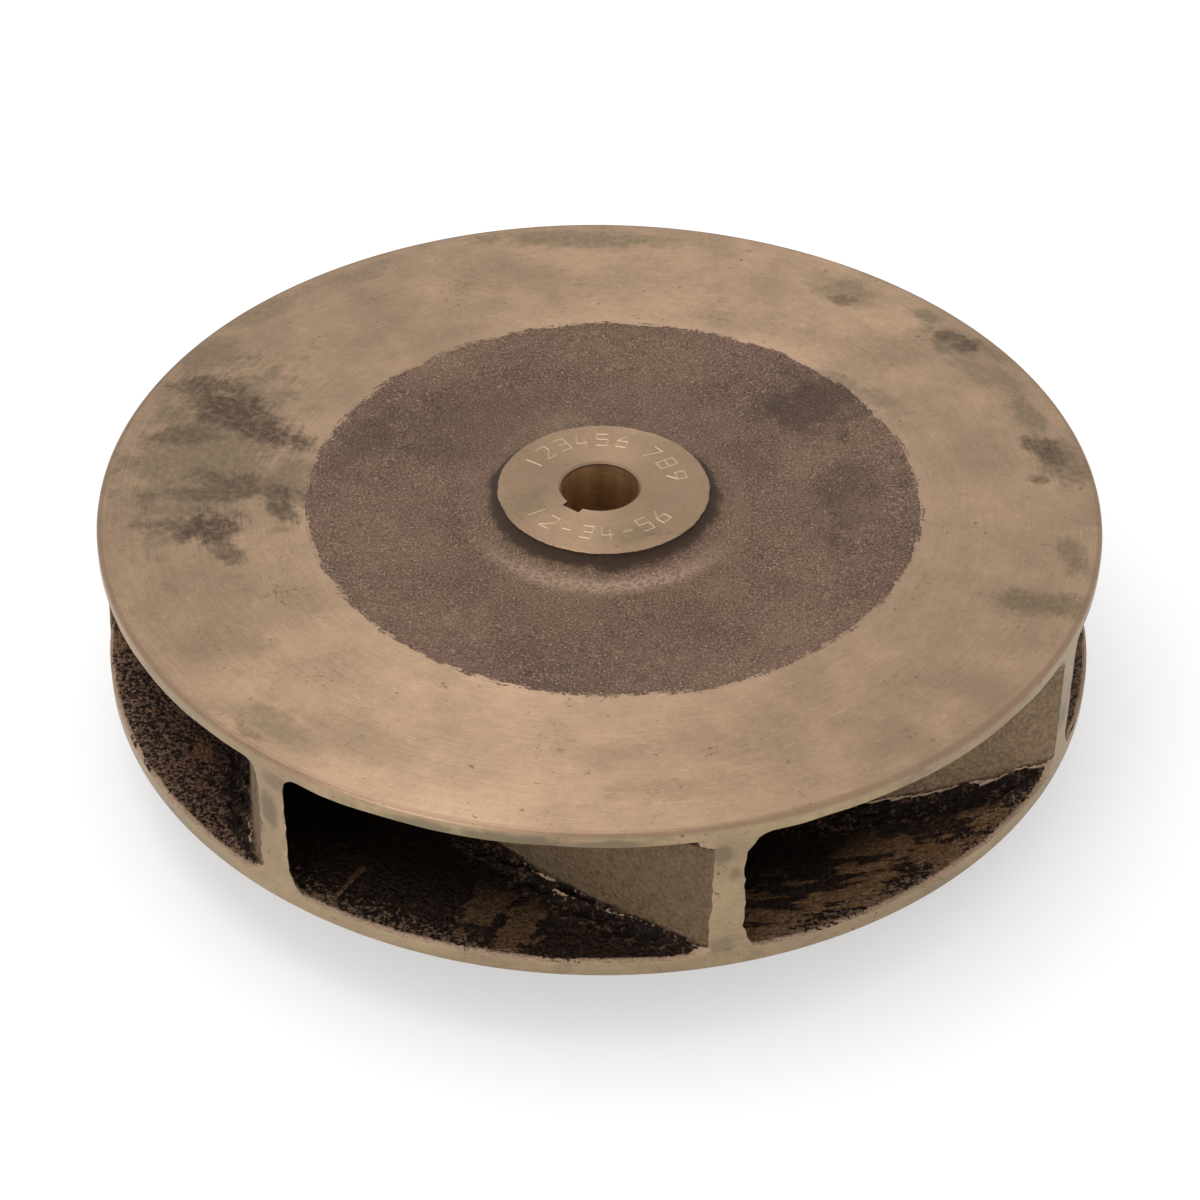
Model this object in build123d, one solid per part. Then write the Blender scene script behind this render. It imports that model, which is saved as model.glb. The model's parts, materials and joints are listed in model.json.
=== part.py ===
from build123d import *
import os
from math import degrees, radians, sqrt, tan

# Closed impeller of a centrifugal pump: one bronze casting, trimmed and faced on a lathe.
# The pump shaft stands along Z. The back shroud and the hub face look up, the eye looks down,
# and the origin lies on the shaft axis in the plane of the eye ring's lower face.

# ---------------------------------------------------------------- driving dimensions, mm and degrees
# turned outside
outside_diameter = 241.3
rim_height = 42.6  # lower rim edge to turned back face
back_edge_round = 1.2  # rim corner on the back face
front_edge_break = 0.5  # rim corner on the front shroud

# shrouds
back_rim_thickness = 4.1  # back shroud, where the passages leave it
back_root_thickness = 6.6  # back shroud, where it runs into the hub
front_rim_thickness = 4.6
front_root_thickness = 6.0  # front shroud, where it turns into the eye
floor_slope = 4.0  # of the passage floor, which falls from the rim towards the eye

# eye and wear ring
ring_diameter = 146.05
ring_wall = 7.025  # wear ring's outside to the eye
ring_drop = 21.0  # lower rim edge down to the ring's face
eye_turn_radius = 14.0  # the floor's turn from a passage into the eye
neck_fillet = 5.0  # front shroud to ring
ring_chamfer = 1.0

# hub
boss_diameter = 51.2  # cast boss, at its faced end
boss_proud = 2.1  # hub face above the turned back face
boss_flare = 7.0  # radius of its hollow flank
boss_centre = (0.9, -0.8)  # the casting sits a little off the turned axis
nose_diameter = 44.0
nose_drop = 40.0  # turned back face down to the hub's nose
nose_round = 2.0
hub_sweep_radius = 28.0  # curve from the nose out to the back shroud
bore_diameter = 19.05
bore_chamfer = 0.5
keyway_width = 4.76
keyway_reach = 11.6  # bore axis to keyway floor
keyway_bearing = -127.0  # direction of the keyway about Z

# unmachined disc left in the middle of the back face
cast_disc_diameter = 148.0
cast_disc_depth = 2.0
cast_disc_flat = 104.0  # diameter of its level middle
cast_disc_centre = (3.3, -1.3)

# vanes
vane_count = 7
vane_bearing = -127.5  # direction of the first vane's tail at the rim
vane_thickness = 5.2
vane_lead_thickness = 3.8
vane_fillet = 3.0  # vane to shroud
outlet_angle = 37.0  # vane against the tangent, at the rim
front_lead_inset = 6.0  # eye's wall out to the leading edge at the front shroud
front_lead_angle = 31.0
back_lead_radius = 41.0  # leading edge at the back shroud
back_lead_angle = 38.0
side_points = 8  # spline points along each side of a vane

# ---------------------------------------------------------------- places that follow from them
rim_radius = outside_diameter / 2
ring_radius = ring_diameter / 2
eye_radius = ring_radius - ring_wall
front_lead_radius = eye_radius + front_lead_inset
nose_radius = nose_diameter / 2
bore_radius = bore_diameter / 2
back_face = ring_drop + rim_height
hub_face = back_face + boss_proud
nose_face = back_face - nose_drop
overrun = 6.0  # how far a cutter runs past the face that it opens


def along(radius, inner, outer):
    """Height at a radius on the straight line through two (radius, height) points."""
    return inner[1] + (outer[1] - inner[1]) * (radius - inner[0]) / (outer[0] - inner[0])


def floor_height(radius):
    """Passage floor: the inside of the front shroud."""
    fall = (rim_radius - radius) * tan(radians(floor_slope))
    return ring_drop + front_rim_thickness - fall


def roof_height(radius):
    """Passage roof: the inside of the back shroud."""
    root = (nose_radius + hub_sweep_radius, back_face - back_root_thickness)
    rim = (rim_radius, back_face - back_rim_thickness)
    return along(radius, root, rim)


def front_skin_height(radius):
    """Outside of the front shroud."""
    neck = ring_radius + neck_fillet
    root = (neck, floor_height(neck) - front_root_thickness)
    return along(radius, root, (rim_radius, ring_drop))


def turned_solid(corners, rounds):
    """Solid of revolution about Z from (radius, height) corners, some of them rounded."""
    face = make_face(Polyline(*corners, close=True))
    for corner, radius in rounds:
        face = fillet(face.vertices().sort_by_distance((*corner, 0))[0], radius)
    return revolve(Plane.XZ * face, Axis.Z)


def casting_envelope():
    """Outside of the casting: shrouds, rim and wear ring, with the passages still solid."""
    neck = (ring_radius, front_skin_height(ring_radius))
    lower_rim = (rim_radius, ring_drop)
    upper_rim = (rim_radius, back_face)
    corners = [(0, 0), (ring_radius, 0), neck, lower_rim, upper_rim, (0, back_face)]
    rounds = [(neck, neck_fillet), (lower_rim, front_edge_break), (upper_rim, back_edge_round)]
    body = turned_solid(corners, rounds)
    ring_edge = body.edges().filter_by(GeomType.CIRCLE).sort_by(Axis.Z)[0]
    return chamfer(ring_edge, ring_chamfer)


def cast_disc():
    """Cutter that sinks the unmachined disc below the turned back face."""
    sunk = back_face - cast_disc_depth
    corners = [
        (0, sunk),
        (cast_disc_flat / 2, sunk),
        (cast_disc_diameter / 2, back_face),
        (cast_disc_diameter / 2, back_face + overrun),
        (0, back_face + overrun),
    ]
    return Pos(*cast_disc_centre) * turned_solid(corners, [])


def hub_boss():
    """Boss on the cast disc, with its faced end up and its flank flaring out to the disc."""
    foot = back_face - cast_disc_depth
    height = hub_face - foot
    flare = min(boss_flare, height)
    reach = sqrt(boss_flare**2 - (boss_flare - flare) ** 2)
    low_left = (Align.MIN, Align.MIN)
    post = Pos(0, foot) * Rectangle(boss_diameter / 2, height, align=low_left)
    flange = Pos(0, foot) * Rectangle(boss_diameter / 2 + reach, flare, align=low_left)
    hollow = Pos(boss_diameter / 2 + reach, foot + boss_flare) * Circle(boss_flare)
    return Pos(*boss_centre) * revolve(Plane.XZ * (post + flange - hollow), Axis.Z)


def flow_channel():
    """All the water's space as one solid of revolution: eye, turn and passages."""
    past_rim = rim_radius + overrun
    turn = (eye_radius, floor_height(eye_radius))
    sweep = (nose_radius, roof_height(nose_radius))
    nose = (nose_radius, nose_face)
    corners = [
        (0, -overrun),
        (eye_radius, -overrun),
        turn,
        (past_rim, floor_height(past_rim)),
        (past_rim, roof_height(past_rim)),
        sweep,
        nose,
        (0, nose_face),
    ]
    rounds = [(turn, eye_turn_radius), (sweep, hub_sweep_radius), (nose, nose_round)]
    return turned_solid(corners, rounds)


def blade_angle(radius, lead_radius, lead_angle):
    """Angle of a vane against the tangent, at a radius."""
    return along(radius, (lead_radius, lead_angle), (rim_radius, outlet_angle))


def wrap(radius, lead_radius, lead_angle):
    """Degrees that a vane turns through between the rim and a radius."""
    slices = 48
    step = (rim_radius - radius) / slices
    turned = 0.0
    for index in range(slices):
        here = radius + (index + 0.5) * step
        turned += step / (here * tan(radians(blade_angle(here, lead_radius, lead_angle))))
    return degrees(turned)


def vane_section(height):
    """Outline of a vane on a level plane: a spiral with a round leading edge."""
    front_end = (floor_height(front_lead_radius), front_lead_radius)
    back_end = (roof_height(back_lead_radius), back_lead_radius)
    lead_radius = along(height, front_end, back_end)
    lead_angle = along(height, (front_end[0], front_lead_angle), (back_end[0], back_lead_angle))
    tail_radius = rim_radius + 2 * overrun
    near_side, far_side, headings = [], [], []
    for index in range(side_points):
        radius = lead_radius + (tail_radius - lead_radius) * index / (side_points - 1)
        bearing = vane_bearing - wrap(radius, lead_radius, lead_angle)
        heading = Vector(1, 0).rotate(Axis.Z, bearing + 90 - blade_angle(radius, lead_radius, lead_angle))
        centre = Vector(radius, 0).rotate(Axis.Z, bearing)
        half = along(radius, (lead_radius, vane_lead_thickness), (rim_radius, vane_thickness)) / 2
        headings.append(heading)
        near_side.append(centre + heading.rotate(Axis.Z, 90) * half)
        far_side.append(centre + heading.rotate(Axis.Z, -90) * half)
    nose = (near_side[0] + far_side[0]) / 2 - headings[0] * vane_lead_thickness / 2
    ends = (headings[0], headings[-1])
    outline = [
        Spline(*near_side, tangents=ends),
        Line(near_side[-1], far_side[-1]),
        Spline(*far_side, tangents=ends),
        ThreePointArc(near_side[0], nose, far_side[0]),
    ]
    return Pos(0, 0, height) * make_face(outline)


def vane():
    """One vane, long enough to run into both shrouds and out past the rim."""
    lowest = floor_height(eye_radius) - eye_turn_radius / 2
    highest = back_face
    heights = [lowest, (lowest + highest) / 2, highest]
    return loft([vane_section(height) for height in heights])


def water_space():
    """Space that the water fills: the flow channel less its vanes, with the vane roots filleted."""
    channel = flow_channel()
    first = vane()
    vanes = [Rot(0, 0, index * 360 / vane_count) * first for index in range(vane_count)]
    space = channel - vanes
    limit = channel.faces().filter_by(GeomType.CYLINDER).sort_by(SortBy.AREA)[-1]
    roots = new_edges(channel, *vanes, combined=space)
    roots = roots.filter_by(lambda edge: limit.distance_to(edge.position_at(0.5)) > overrun / 2)
    return fillet(roots, vane_fillet)


def keyed_bore():
    """Cutter for the bore, its chamfered mouths and the keyway."""
    middle = (nose_face + hub_face) / 2
    length = hub_face - nose_face
    bore = Cylinder(bore_radius, length + 2 * overrun)
    mouth = Cone(bore_radius, bore_radius + bore_chamfer, bore_chamfer)
    lower_mouth = Pos(0, 0, (bore_chamfer - length) / 2) * Rot(180, 0, 0) * mouth
    upper_mouth = Pos(0, 0, (length - bore_chamfer) / 2) * mouth
    keyway = Pos(keyway_reach / 2, 0, 0) * Box(keyway_reach, keyway_width, length + 2 * overrun)
    return Pos(0, 0, middle) * (bore + lower_mouth + upper_mouth + Rot(0, 0, keyway_bearing) * keyway)


def impeller():
    """The finished casting."""
    return casting_envelope() - cast_disc() + hub_boss() - water_space() - keyed_bore()


os.makedirs("parts", exist_ok=True)
casting = impeller()
casting.label = "impeller"
export_step(casting, "parts/impeller.step")
print("impeller", round(casting.volume), "mm3")
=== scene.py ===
# %% [markdown]
# # A bronze pump impeller
# The real object is one casting: two round shrouds with curved vanes between them, a hub in the
# middle and a ring round the eye where the water enters. A foundry pours it in sand, and a lathe
# then cleans the faces that matter. So two kinds of surface meet all over it: bright turned metal
# with fine rings, and brown sand-cast skin with grain, scale and flash.
#
# The first cell loads the packed CAD part. Everything that is built here ends up in its frame.

# %% Load the frame
import json
from functools import reduce
from math import atan, cos, degrees, pi, radians, sin, sqrt, tan

import bmesh
import bpy
import numpy as np
from mathutils import Matrix, Vector, noise


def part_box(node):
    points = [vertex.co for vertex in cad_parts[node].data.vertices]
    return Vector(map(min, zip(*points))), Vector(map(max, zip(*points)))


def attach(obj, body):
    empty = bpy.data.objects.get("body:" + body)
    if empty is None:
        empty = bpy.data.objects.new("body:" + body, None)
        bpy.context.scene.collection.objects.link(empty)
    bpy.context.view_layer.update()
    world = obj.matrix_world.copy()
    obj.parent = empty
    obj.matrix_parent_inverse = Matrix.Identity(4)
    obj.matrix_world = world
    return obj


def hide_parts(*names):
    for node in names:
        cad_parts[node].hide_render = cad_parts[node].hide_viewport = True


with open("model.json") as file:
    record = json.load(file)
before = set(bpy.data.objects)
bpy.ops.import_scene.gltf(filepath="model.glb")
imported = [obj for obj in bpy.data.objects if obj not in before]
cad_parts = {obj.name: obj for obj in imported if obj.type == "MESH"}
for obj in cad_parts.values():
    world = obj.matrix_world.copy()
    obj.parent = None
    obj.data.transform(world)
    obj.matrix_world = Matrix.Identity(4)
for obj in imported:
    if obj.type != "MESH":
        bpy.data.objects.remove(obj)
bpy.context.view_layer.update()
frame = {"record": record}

# %% [markdown]
# ## Sizes
# The outside sizes are read from the CAD node and its mounts, so they always agree with it. The
# inside of the casting isn't in the record, so its sizes are written here once, in millimetres.
# Working in millimetres keeps the numbers readable. The finished mesh is scaled to metres, once.

# %% Sizes
MM = 0.001

low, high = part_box("impeller")
mounts = {mount["name"]: mount for mount in frame["record"]["mounts"]}
rim_radius = (high.x - low.x) / 2 / MM
hub_face = high.z / MM
nose_face = mounts["nose_face"]["pos_m"][2] / MM
bore_radius = mounts["bore"]["dims"]["r_mm"]
ring_radius = mounts["eye_ring"]["dims"]["r_mm"]

boss_proud = 2.1
rim_height = 42.6
back_face = hub_face - boss_proud
rim_foot = back_face - rim_height
back_edge_round = 1.2
front_edge_break = 0.5
back_rim_thickness, back_root_thickness = 4.1, 6.6
front_rim_thickness, front_root_thickness = 4.6, 6.0
floor_slope = radians(4.0)
eye_radius = 66.0
eye_turn = 14.0
neck_fillet = 5.0
ring_chamfer = 1.0
nose_radius = 22.0
nose_round = 2.0
hub_sweep = 28.0
boss_radius = 25.6
boss_flare = 7.0
boss_undercut = 0.7
boss_centre = (0.9, -0.8)
disc_radius = 74.0
disc_flat = 52.0
disc_depth = 2.0
disc_centre = (3.3, -1.3)
keyway_width, keyway_reach, keyway_bearing = 4.76, 11.6, radians(-127.0)
print("rim radius", rim_radius, "hub face", hub_face, "nose face", nose_face)

# %% [markdown]
# ## The passage floor and roof
# Water turns from the eye into the passages round two big curves: the floor turns up out of the
# eye, and the roof sweeps out of the hub. Each is a straight line that ends in an arc. Writing
# them as two functions of the radius lets the vanes, the eye and the passages share them.

# %% Floor and roof heights
def blend(a, b, share):
    """The value a share of the way from a to b."""
    return a + (b - a) * share


def floor_line(radius):
    return rim_foot + front_rim_thickness - (rim_radius - radius) * tan(floor_slope)


turn_centre = (eye_radius + eye_turn, floor_line(eye_radius + eye_turn) - eye_turn / cos(floor_slope))
turn_end = turn_centre[0] - eye_turn * sin(floor_slope)
roof_root = nose_radius + hub_sweep
roof_fall = (back_root_thickness - back_rim_thickness) / (rim_radius - roof_root)


def roof_line(radius):
    return back_face - back_rim_thickness - (rim_radius - radius) * roof_fall


sweep_centre = (roof_root, roof_line(roof_root) - hub_sweep * sqrt(1 + roof_fall**2))
sweep_end = roof_root - hub_sweep * sin(atan(roof_fall))


def floor_height(radius):
    """Inside of the front shroud, arc included."""
    reach = np.clip(turn_centre[0] - np.asarray(radius, float), 0, eye_turn - 0.01)
    arc = turn_centre[1] + np.sqrt(eye_turn**2 - reach**2)
    return np.where(radius >= turn_end, floor_line(radius), arc)


def roof_height(radius):
    """Inside of the back shroud, arc included."""
    reach = np.clip(sweep_centre[0] - np.asarray(radius, float), 0, hub_sweep - 0.01)
    arc = sweep_centre[1] + np.sqrt(hub_sweep**2 - reach**2)
    return np.where(radius >= sweep_end, roof_line(radius), arc)


for radius in (70, 90, rim_radius):
    heights = [round(float(side(radius)), 1) for side in (floor_height, roof_height)]
    print(f"radius {radius:.0f}: floor and roof at", heights)

# %% [markdown]
# ## The vanes' spiral
# A vane crosses every circle at its blade angle. Adding up small steps of that slope from the rim
# inwards gives the bearing at any radius. The angle and the inner end differ between the front and
# the back shroud, so the leading edge slants across the eye, as it does on the real casting.

# %% Vane spiral
vane_count = 7
first_tail = radians(-127.5)
pitch = 2 * pi / vane_count
outlet_angle = radians(37.0)
lead_radius_front, lead_radius_back = 72.0, 41.0
lead_angle_front, lead_angle_back = radians(31.0), radians(38.0)
vane_thickness, vane_lead_thickness = 5.2, 3.8


def lead_radius(level):
    """Radius of the leading edge; level is 0 at the floor and 1 at the roof."""
    return blend(lead_radius_front, lead_radius_back, level)


def blade_angle(radius, level):
    share = (radius - lead_radius(level)) / (rim_radius - lead_radius(level))
    return blend(blend(lead_angle_front, lead_angle_back, level), outlet_angle, share)


def wrap(radius, level, steps=64):
    """Angle that a vane turns through from the rim in to a radius, for arrays of radii and levels."""
    share = (np.arange(steps) + 0.5) / steps
    here = radius[..., None] + (rim_radius - radius)[..., None] * share
    slope = 1 / (here * np.tan(blade_angle(here, level[..., None])))
    return slope.sum(-1) * (rim_radius - radius) / steps


def half_vane(radius, level):
    """Half the angle that a vane fills at a radius, with its round nose; under 0 inside the nose."""
    edge = lead_radius(level)
    share = np.clip((radius - edge) / (rim_radius - edge), 0, 1)
    thickness = blend(vane_lead_thickness, vane_thickness, share)
    angle = blade_angle(radius, level)
    nose = np.clip((radius - edge) / (thickness / 2 * np.sin(angle)), 0, 1)
    half = thickness / 2 * np.sqrt(1 - (1 - nose) ** 2)
    half = np.where(radius < edge, -0.4, half)
    return half / (radius * np.sin(angle))


print("wrap at the eye:", np.degrees(wrap(np.array([72.0, 41.0]), np.array([0.0, 1.0]))).round(1))

# %% [markdown]
# ## Cast roughness
# Sand leaves lumps of every size. One smooth random field, sampled at two or three sizes, gives
# them all. The field depends on the place in space only, so two meshes that meet agree about it.

# %% Random fields
def lumps(points, size, octaves=2, seed=0.0):
    """Smooth random values of about -1 to 1 at points in mm, with lumps of a size in mm."""
    shift = Vector((seed, 2.3 * seed, -1.7 * seed))
    flat = np.asarray(points, float).reshape(-1, 3) / size
    values = [noise.fractal(Vector(point) + shift, 0.8, 2.0, octaves) for point in flat]
    return np.array(values).reshape(np.shape(points)[:-1])


def polar(radius, bearing, height):
    """Points from radius, bearing and height arrays."""
    radius, bearing, height = np.broadcast_arrays(radius, bearing, height)
    return np.stack([radius * np.cos(bearing), radius * np.sin(bearing), height], -1)


def smooth(value, start, end):
    """0 up to start, 1 from end on, and an even ease between them."""
    share = np.clip((value - start) / (end - start), 0, 1)
    return share * share * (3 - 2 * share)


print("a lump value:", lumps([[11.0, 23.0, 31.0]], size=5.0).round(3))

# %% [markdown]
# ## Closed meshes from rows
# Each solid here is a stack of closed rows of points, joined by quads and shut by a cap at each
# end. Boolean cuts need such watertight solids. One helper makes them all, and works in mm.

# %% Mesh from rows
def solid_from_rows(name, rows, material):
    """A closed mesh through rows of points, an array of (rows, points in a row, 3) in mm."""
    row_count, size = rows.shape[:2]
    index = np.arange(row_count * size).reshape(row_count, size)
    after = np.roll(index, -1, axis=1)
    quads = np.stack([index[:-1], after[:-1], after[1:], index[1:]], -1).reshape(-1, 4)
    faces = quads.tolist() + [index[0][::-1].tolist(), index[-1].tolist()]
    mesh = bpy.data.meshes.new(name)
    mesh.from_pydata(rows.reshape(-1, 3).tolist(), [], faces)
    mesh.materials.append(material)
    shape = bmesh.new()
    shape.from_mesh(mesh)
    if shape.calc_volume(signed=True) < 0:
        bmesh.ops.reverse_faces(shape, faces=shape.faces)
    shape.to_mesh(mesh)
    shape.free()
    solid = bpy.data.objects.new(name, mesh)
    bpy.context.collection.objects.link(solid)
    return solid


print("solid_from_rows makes:", solid_from_rows.__doc__)

# %% [markdown]
# ## Materials, first as empty names
# The cuts carry materials with them: a face that a cutter leaves behind takes the cutter's own
# material. So the names are made before the meshes, and the finish of each is written later.

# %% Material names
MATERIAL_NAMES = ["turned_bronze", "back_face", "cast_skin", "passage_skin", "bored_bronze", "cut_bronze"]
materials = {}
for name in MATERIAL_NAMES:
    materials[name] = bpy.data.materials.new(name)
    materials[name].use_nodes = True
print("materials", ", ".join(materials))

# %% [markdown]
# ## Outside of the casting
# The outside is turned round the shaft axis, row by row. Two parts are not round about that axis,
# because the casting sat a little off it in the lathe: the boss and the unmachined disc. Each row
# may therefore have its own centre. The disc's edge is where the turning tool ran out of metal, so
# it is ragged: its radius wanders with the bearing.

# %% Row helpers
columns = 390
bearings = np.arange(columns) * 2 * pi / columns


def disc_edge(bearing):
    """Radius of the unmachined disc's ragged edge about its own centre."""
    ring = polar(disc_radius, bearing, 0.0)
    return disc_radius + 0.6 * lumps(ring, size=11.0, seed=4) + 0.7 * lumps(ring, size=1.6, octaves=3, seed=9)


def ring_row(radius, height, centre=(0.0, 0.0)):
    """One row of points round a centre; radius and height may vary along it."""
    row = polar(radius, bearings, height)
    row[:, :2] += centre
    return row


def centre_between(start, end, share):
    """A centre a share of the way from one to another."""
    return tuple(blend(a, b, share) for a, b in zip(start, end))


print("points in a row:", columns)

# %% [markdown]
# The hub face is flat, and its edge is nibbled where it was faced. From there the boss falls in a
# hollow flank, tucked in a little under the face, and runs out into the sunken cast disc.

# %% Boss and disc rows
boss_height = hub_face - back_face + disc_depth
boss_foot = boss_radius + sqrt(boss_flare**2 - (boss_flare - boss_height) ** 2)


def boss_rows():
    rows = [ring_row(radius, hub_face) for radius in (5.0, 14.0, 20.0)]
    rim_of_boss = ring_row(boss_radius, hub_face, boss_centre)
    nibble = 0.25 * np.clip(lumps(rim_of_boss, size=3.0, octaves=3, seed=5), -1, 0.3)
    rows.append(ring_row(boss_radius - 1.2, hub_face, boss_centre))
    rows.append(ring_row(boss_radius - 0.25 + nibble, hub_face, boss_centre))
    rows.append(ring_row(boss_radius + nibble, hub_face - 0.2, boss_centre))
    top_turn = np.arccos(1 - boss_height / boss_flare)
    for turn in np.linspace(top_turn, 0, 13)[1:]:
        tuck = boss_undercut * smooth(turn, top_turn - 0.6, top_turn - 0.15)
        row = ring_row(boss_foot - boss_flare * sin(turn) - tuck, 0.0, boss_centre)
        lift = boss_flare * (1 - cos(turn))
        rough = 0.12 * lumps(row, size=2.6, octaves=3, seed=6)
        rough = rough + 0.22 * lumps(row, size=11.0, octaves=1, seed=7)
        row[:, 2] = back_face - disc_depth + lift + rough * smooth(top_turn - turn, 0.0, 0.4)
        rows.append(row)
    return rows


def cast_top(points, edge_distance):
    """Sinks points of the unmachined disc; edge_distance is their distance in from its edge."""
    slope = disc_depth / (disc_radius - disc_flat)
    fall = np.minimum(edge_distance * slope, disc_depth)
    skin = 0.16 * lumps(points, size=16.0, seed=1) + 0.10 * lumps(points, size=3.2, octaves=3, seed=2)
    points[..., 2] = back_face - fall + skin * smooth(edge_distance, 0.0, 5.0)
    return points


def disc_rows():
    """From the boss out to the disc's ragged edge, going over from the boss's centre to the disc's."""
    edge = disc_edge(bearings)
    rows = []
    for share in np.linspace(0, 1, 42)[1:]:
        row = ring_row(blend(boss_foot, edge, share), 0.0, centre_between(boss_centre, disc_centre, share))
        rows.append(cast_top(row, (edge - boss_foot) * (1 - share)))
    for share in (0.04, 0.12, 0.3, 0.6):
        centre = centre_between(disc_centre, (0.0, 0.0), share)
        rows.append(ring_row(blend(edge, rim_radius - back_edge_round, share), back_face, centre))
    return rows


upper_rows = boss_rows() + disc_rows()
print("rows from the hub to the turned ring:", len(upper_rows))

# %% [markdown]
# The rim has a round upper corner and a broken lower one. Under it the front shroud is as cast, and
# curves down into the turned ring that the casting stands on.

# %% Rim and front rows
def rim_rows():
    rows = []
    for turn in np.linspace(0, pi / 2, 5):
        inset = back_edge_round * (1 - sin(turn))
        drop = back_edge_round * (1 - cos(turn))
        rows.append(ring_row(rim_radius - inset, back_face - drop))
    for share in np.linspace(0, 1, 9)[1:-1]:
        drop = blend(back_edge_round, rim_height - front_edge_break, share)
        rows.append(ring_row(rim_radius, back_face - drop))
    for inset, lift in ((0.0, 1.0), (0.3, 0.3), (1.0, 0.0)):
        rows.append(ring_row(rim_radius - inset * front_edge_break, rim_foot + lift * front_edge_break))
    return rows


def front_rows():
    """The front shroud's cast outside, its curve into the ring, and the ring's face."""
    rows = []
    neck_radius = ring_radius + neck_fillet
    neck_height = float(floor_line(neck_radius)) - front_root_thickness
    for share in np.linspace(0, 1, 18)[1:]:
        row = ring_row(blend(rim_radius - front_edge_break, neck_radius, share), 0.0)
        rough = 0.14 * lumps(row, size=13.0, seed=11) + 0.10 * lumps(row, size=3.0, octaves=3, seed=12)
        row[:, 2] = blend(rim_foot, neck_height, share) + rough * smooth(share, 0.04, 0.2)
        rows.append(row)
    for turn in np.linspace(0, pi / 2, 6)[1:]:
        inset, drop = neck_fillet * sin(turn), neck_fillet * (1 - cos(turn))
        rows.append(ring_row(neck_radius - inset, neck_height - drop))
    rows.append(ring_row(ring_radius, ring_chamfer))
    rows.append(ring_row(ring_radius - ring_chamfer, 0.0))
    rows.append(ring_row(ring_radius - 3.0, 0.0))
    return rows


outside_rows = np.array(upper_rows + rim_rows() + front_rows())
casting = solid_from_rows("impeller_casting", outside_rows, materials["back_face"])
print("outside", len(casting.data.polygons), "faces")

# %% [markdown]
# ## The water's space
# The passages are cut out of the solid outside by seven tubes, and the eye by a turned cutter. A
# tube's section is a rounded rectangle between two vanes, the floor and the roof. Joining fourteen
# vane walls to two shrouds would also give the shape, but with a fillet to make at every joint; a
# tube carries its fillets in its own section.

# %% Where the vanes stand
# the vanes aren't spaced quite evenly: how far the first ones stand from their even places
vane_shift = {0: radians(0.9), 1: radians(-0.1), 2: radians(-0.9)}


def vane_bearing(number):
    return first_tail + number * pitch + vane_shift.get(number % vane_count, 0.0)


print("vane tails at", [round(degrees(vane_bearing(number)), 1) for number in range(vane_count)], "degrees")

# %% [markdown]
# Each corner of a section has its own width and height. The corner at the foot of the outer vane
# face is a low, rough ramp with a ridge of flash along its top, where metal ran into the joint
# between two cores. At the rim the ports differ, as hand-set cores do, so they have sizes of three
# kinds; further in all the passages are alike.

# %% Corners
# points along each run of a section
FLOOR_POINTS, RAMP_POINTS, FACE_POINTS, CORNER_POINTS, ROOF_POINTS, BACK_POINTS = 21, 16, 20, 7, 15, 11
# width and height in mm of three kinds of port's corners, in this order: floor low side, ramp,
# roof high side, roof low side
PORT_CORNERS = [
    ((3.2, 8.0), (1.6, 1.8), (1.4, 3.0), (1.9, 4.0)),
    ((3.2, 7.0), (2.2, 2.8), (1.5, 2.5), (3.2, 9.5)),
    ((3.0, 6.0), (2.2, 2.4), (2.0, 4.0), (2.0, 4.0)),
]
PORT_KIND = {0: 0, 1: 1, 6: 2}
ROUND_INSIDE = 3.5
RAMP_INSIDE = (10.0, 3.8)


def corner_sizes(passage, radius):
    """(width, height) in mm of the four corners: floor low side, ramp, roof high side, roof low side."""
    at_rim = PORT_CORNERS[PORT_KIND.get(passage, passage % 3)]
    to_rim = smooth(radius, 113.0, rim_radius)
    on_ramp = smooth(radius, 62.0, 84.0)
    corners = []
    for number, corner in enumerate(at_rim):
        grown = RAMP_INSIDE if number == 1 else (ROUND_INSIDE, ROUND_INSIDE)
        inside = [blend(ROUND_INSIDE, value, on_ramp) for value in grown]
        corners.append(tuple(blend(start, end, to_rim) for start, end in zip(inside, corner)))
    return corners


print("ramp well inside and at the rim:", corner_sizes(0, 100)[1], corner_sizes(0, rim_radius)[1])

# %% [markdown]
# The section itself is eight runs of points, one after the other, from the floor's low side round
# by the ramp, the vane face and the roof. Every section has the same number of points, so the rows
# join up into a tube, and each point knows which run it is on, for the marks and the material.

# %% One section
def quarter(size, from_side, count):
    """A quarter of an ellipse as distances in from its corner, from one side round to the other."""
    turn = np.linspace(0, pi / 2, count)
    in_from_wall, in_from_floor = size[0] * (1 - np.sin(turn)), size[1] * (1 - np.cos(turn))
    if from_side:
        return in_from_wall[::-1], in_from_floor[::-1]
    return in_from_wall, in_from_floor


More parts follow.
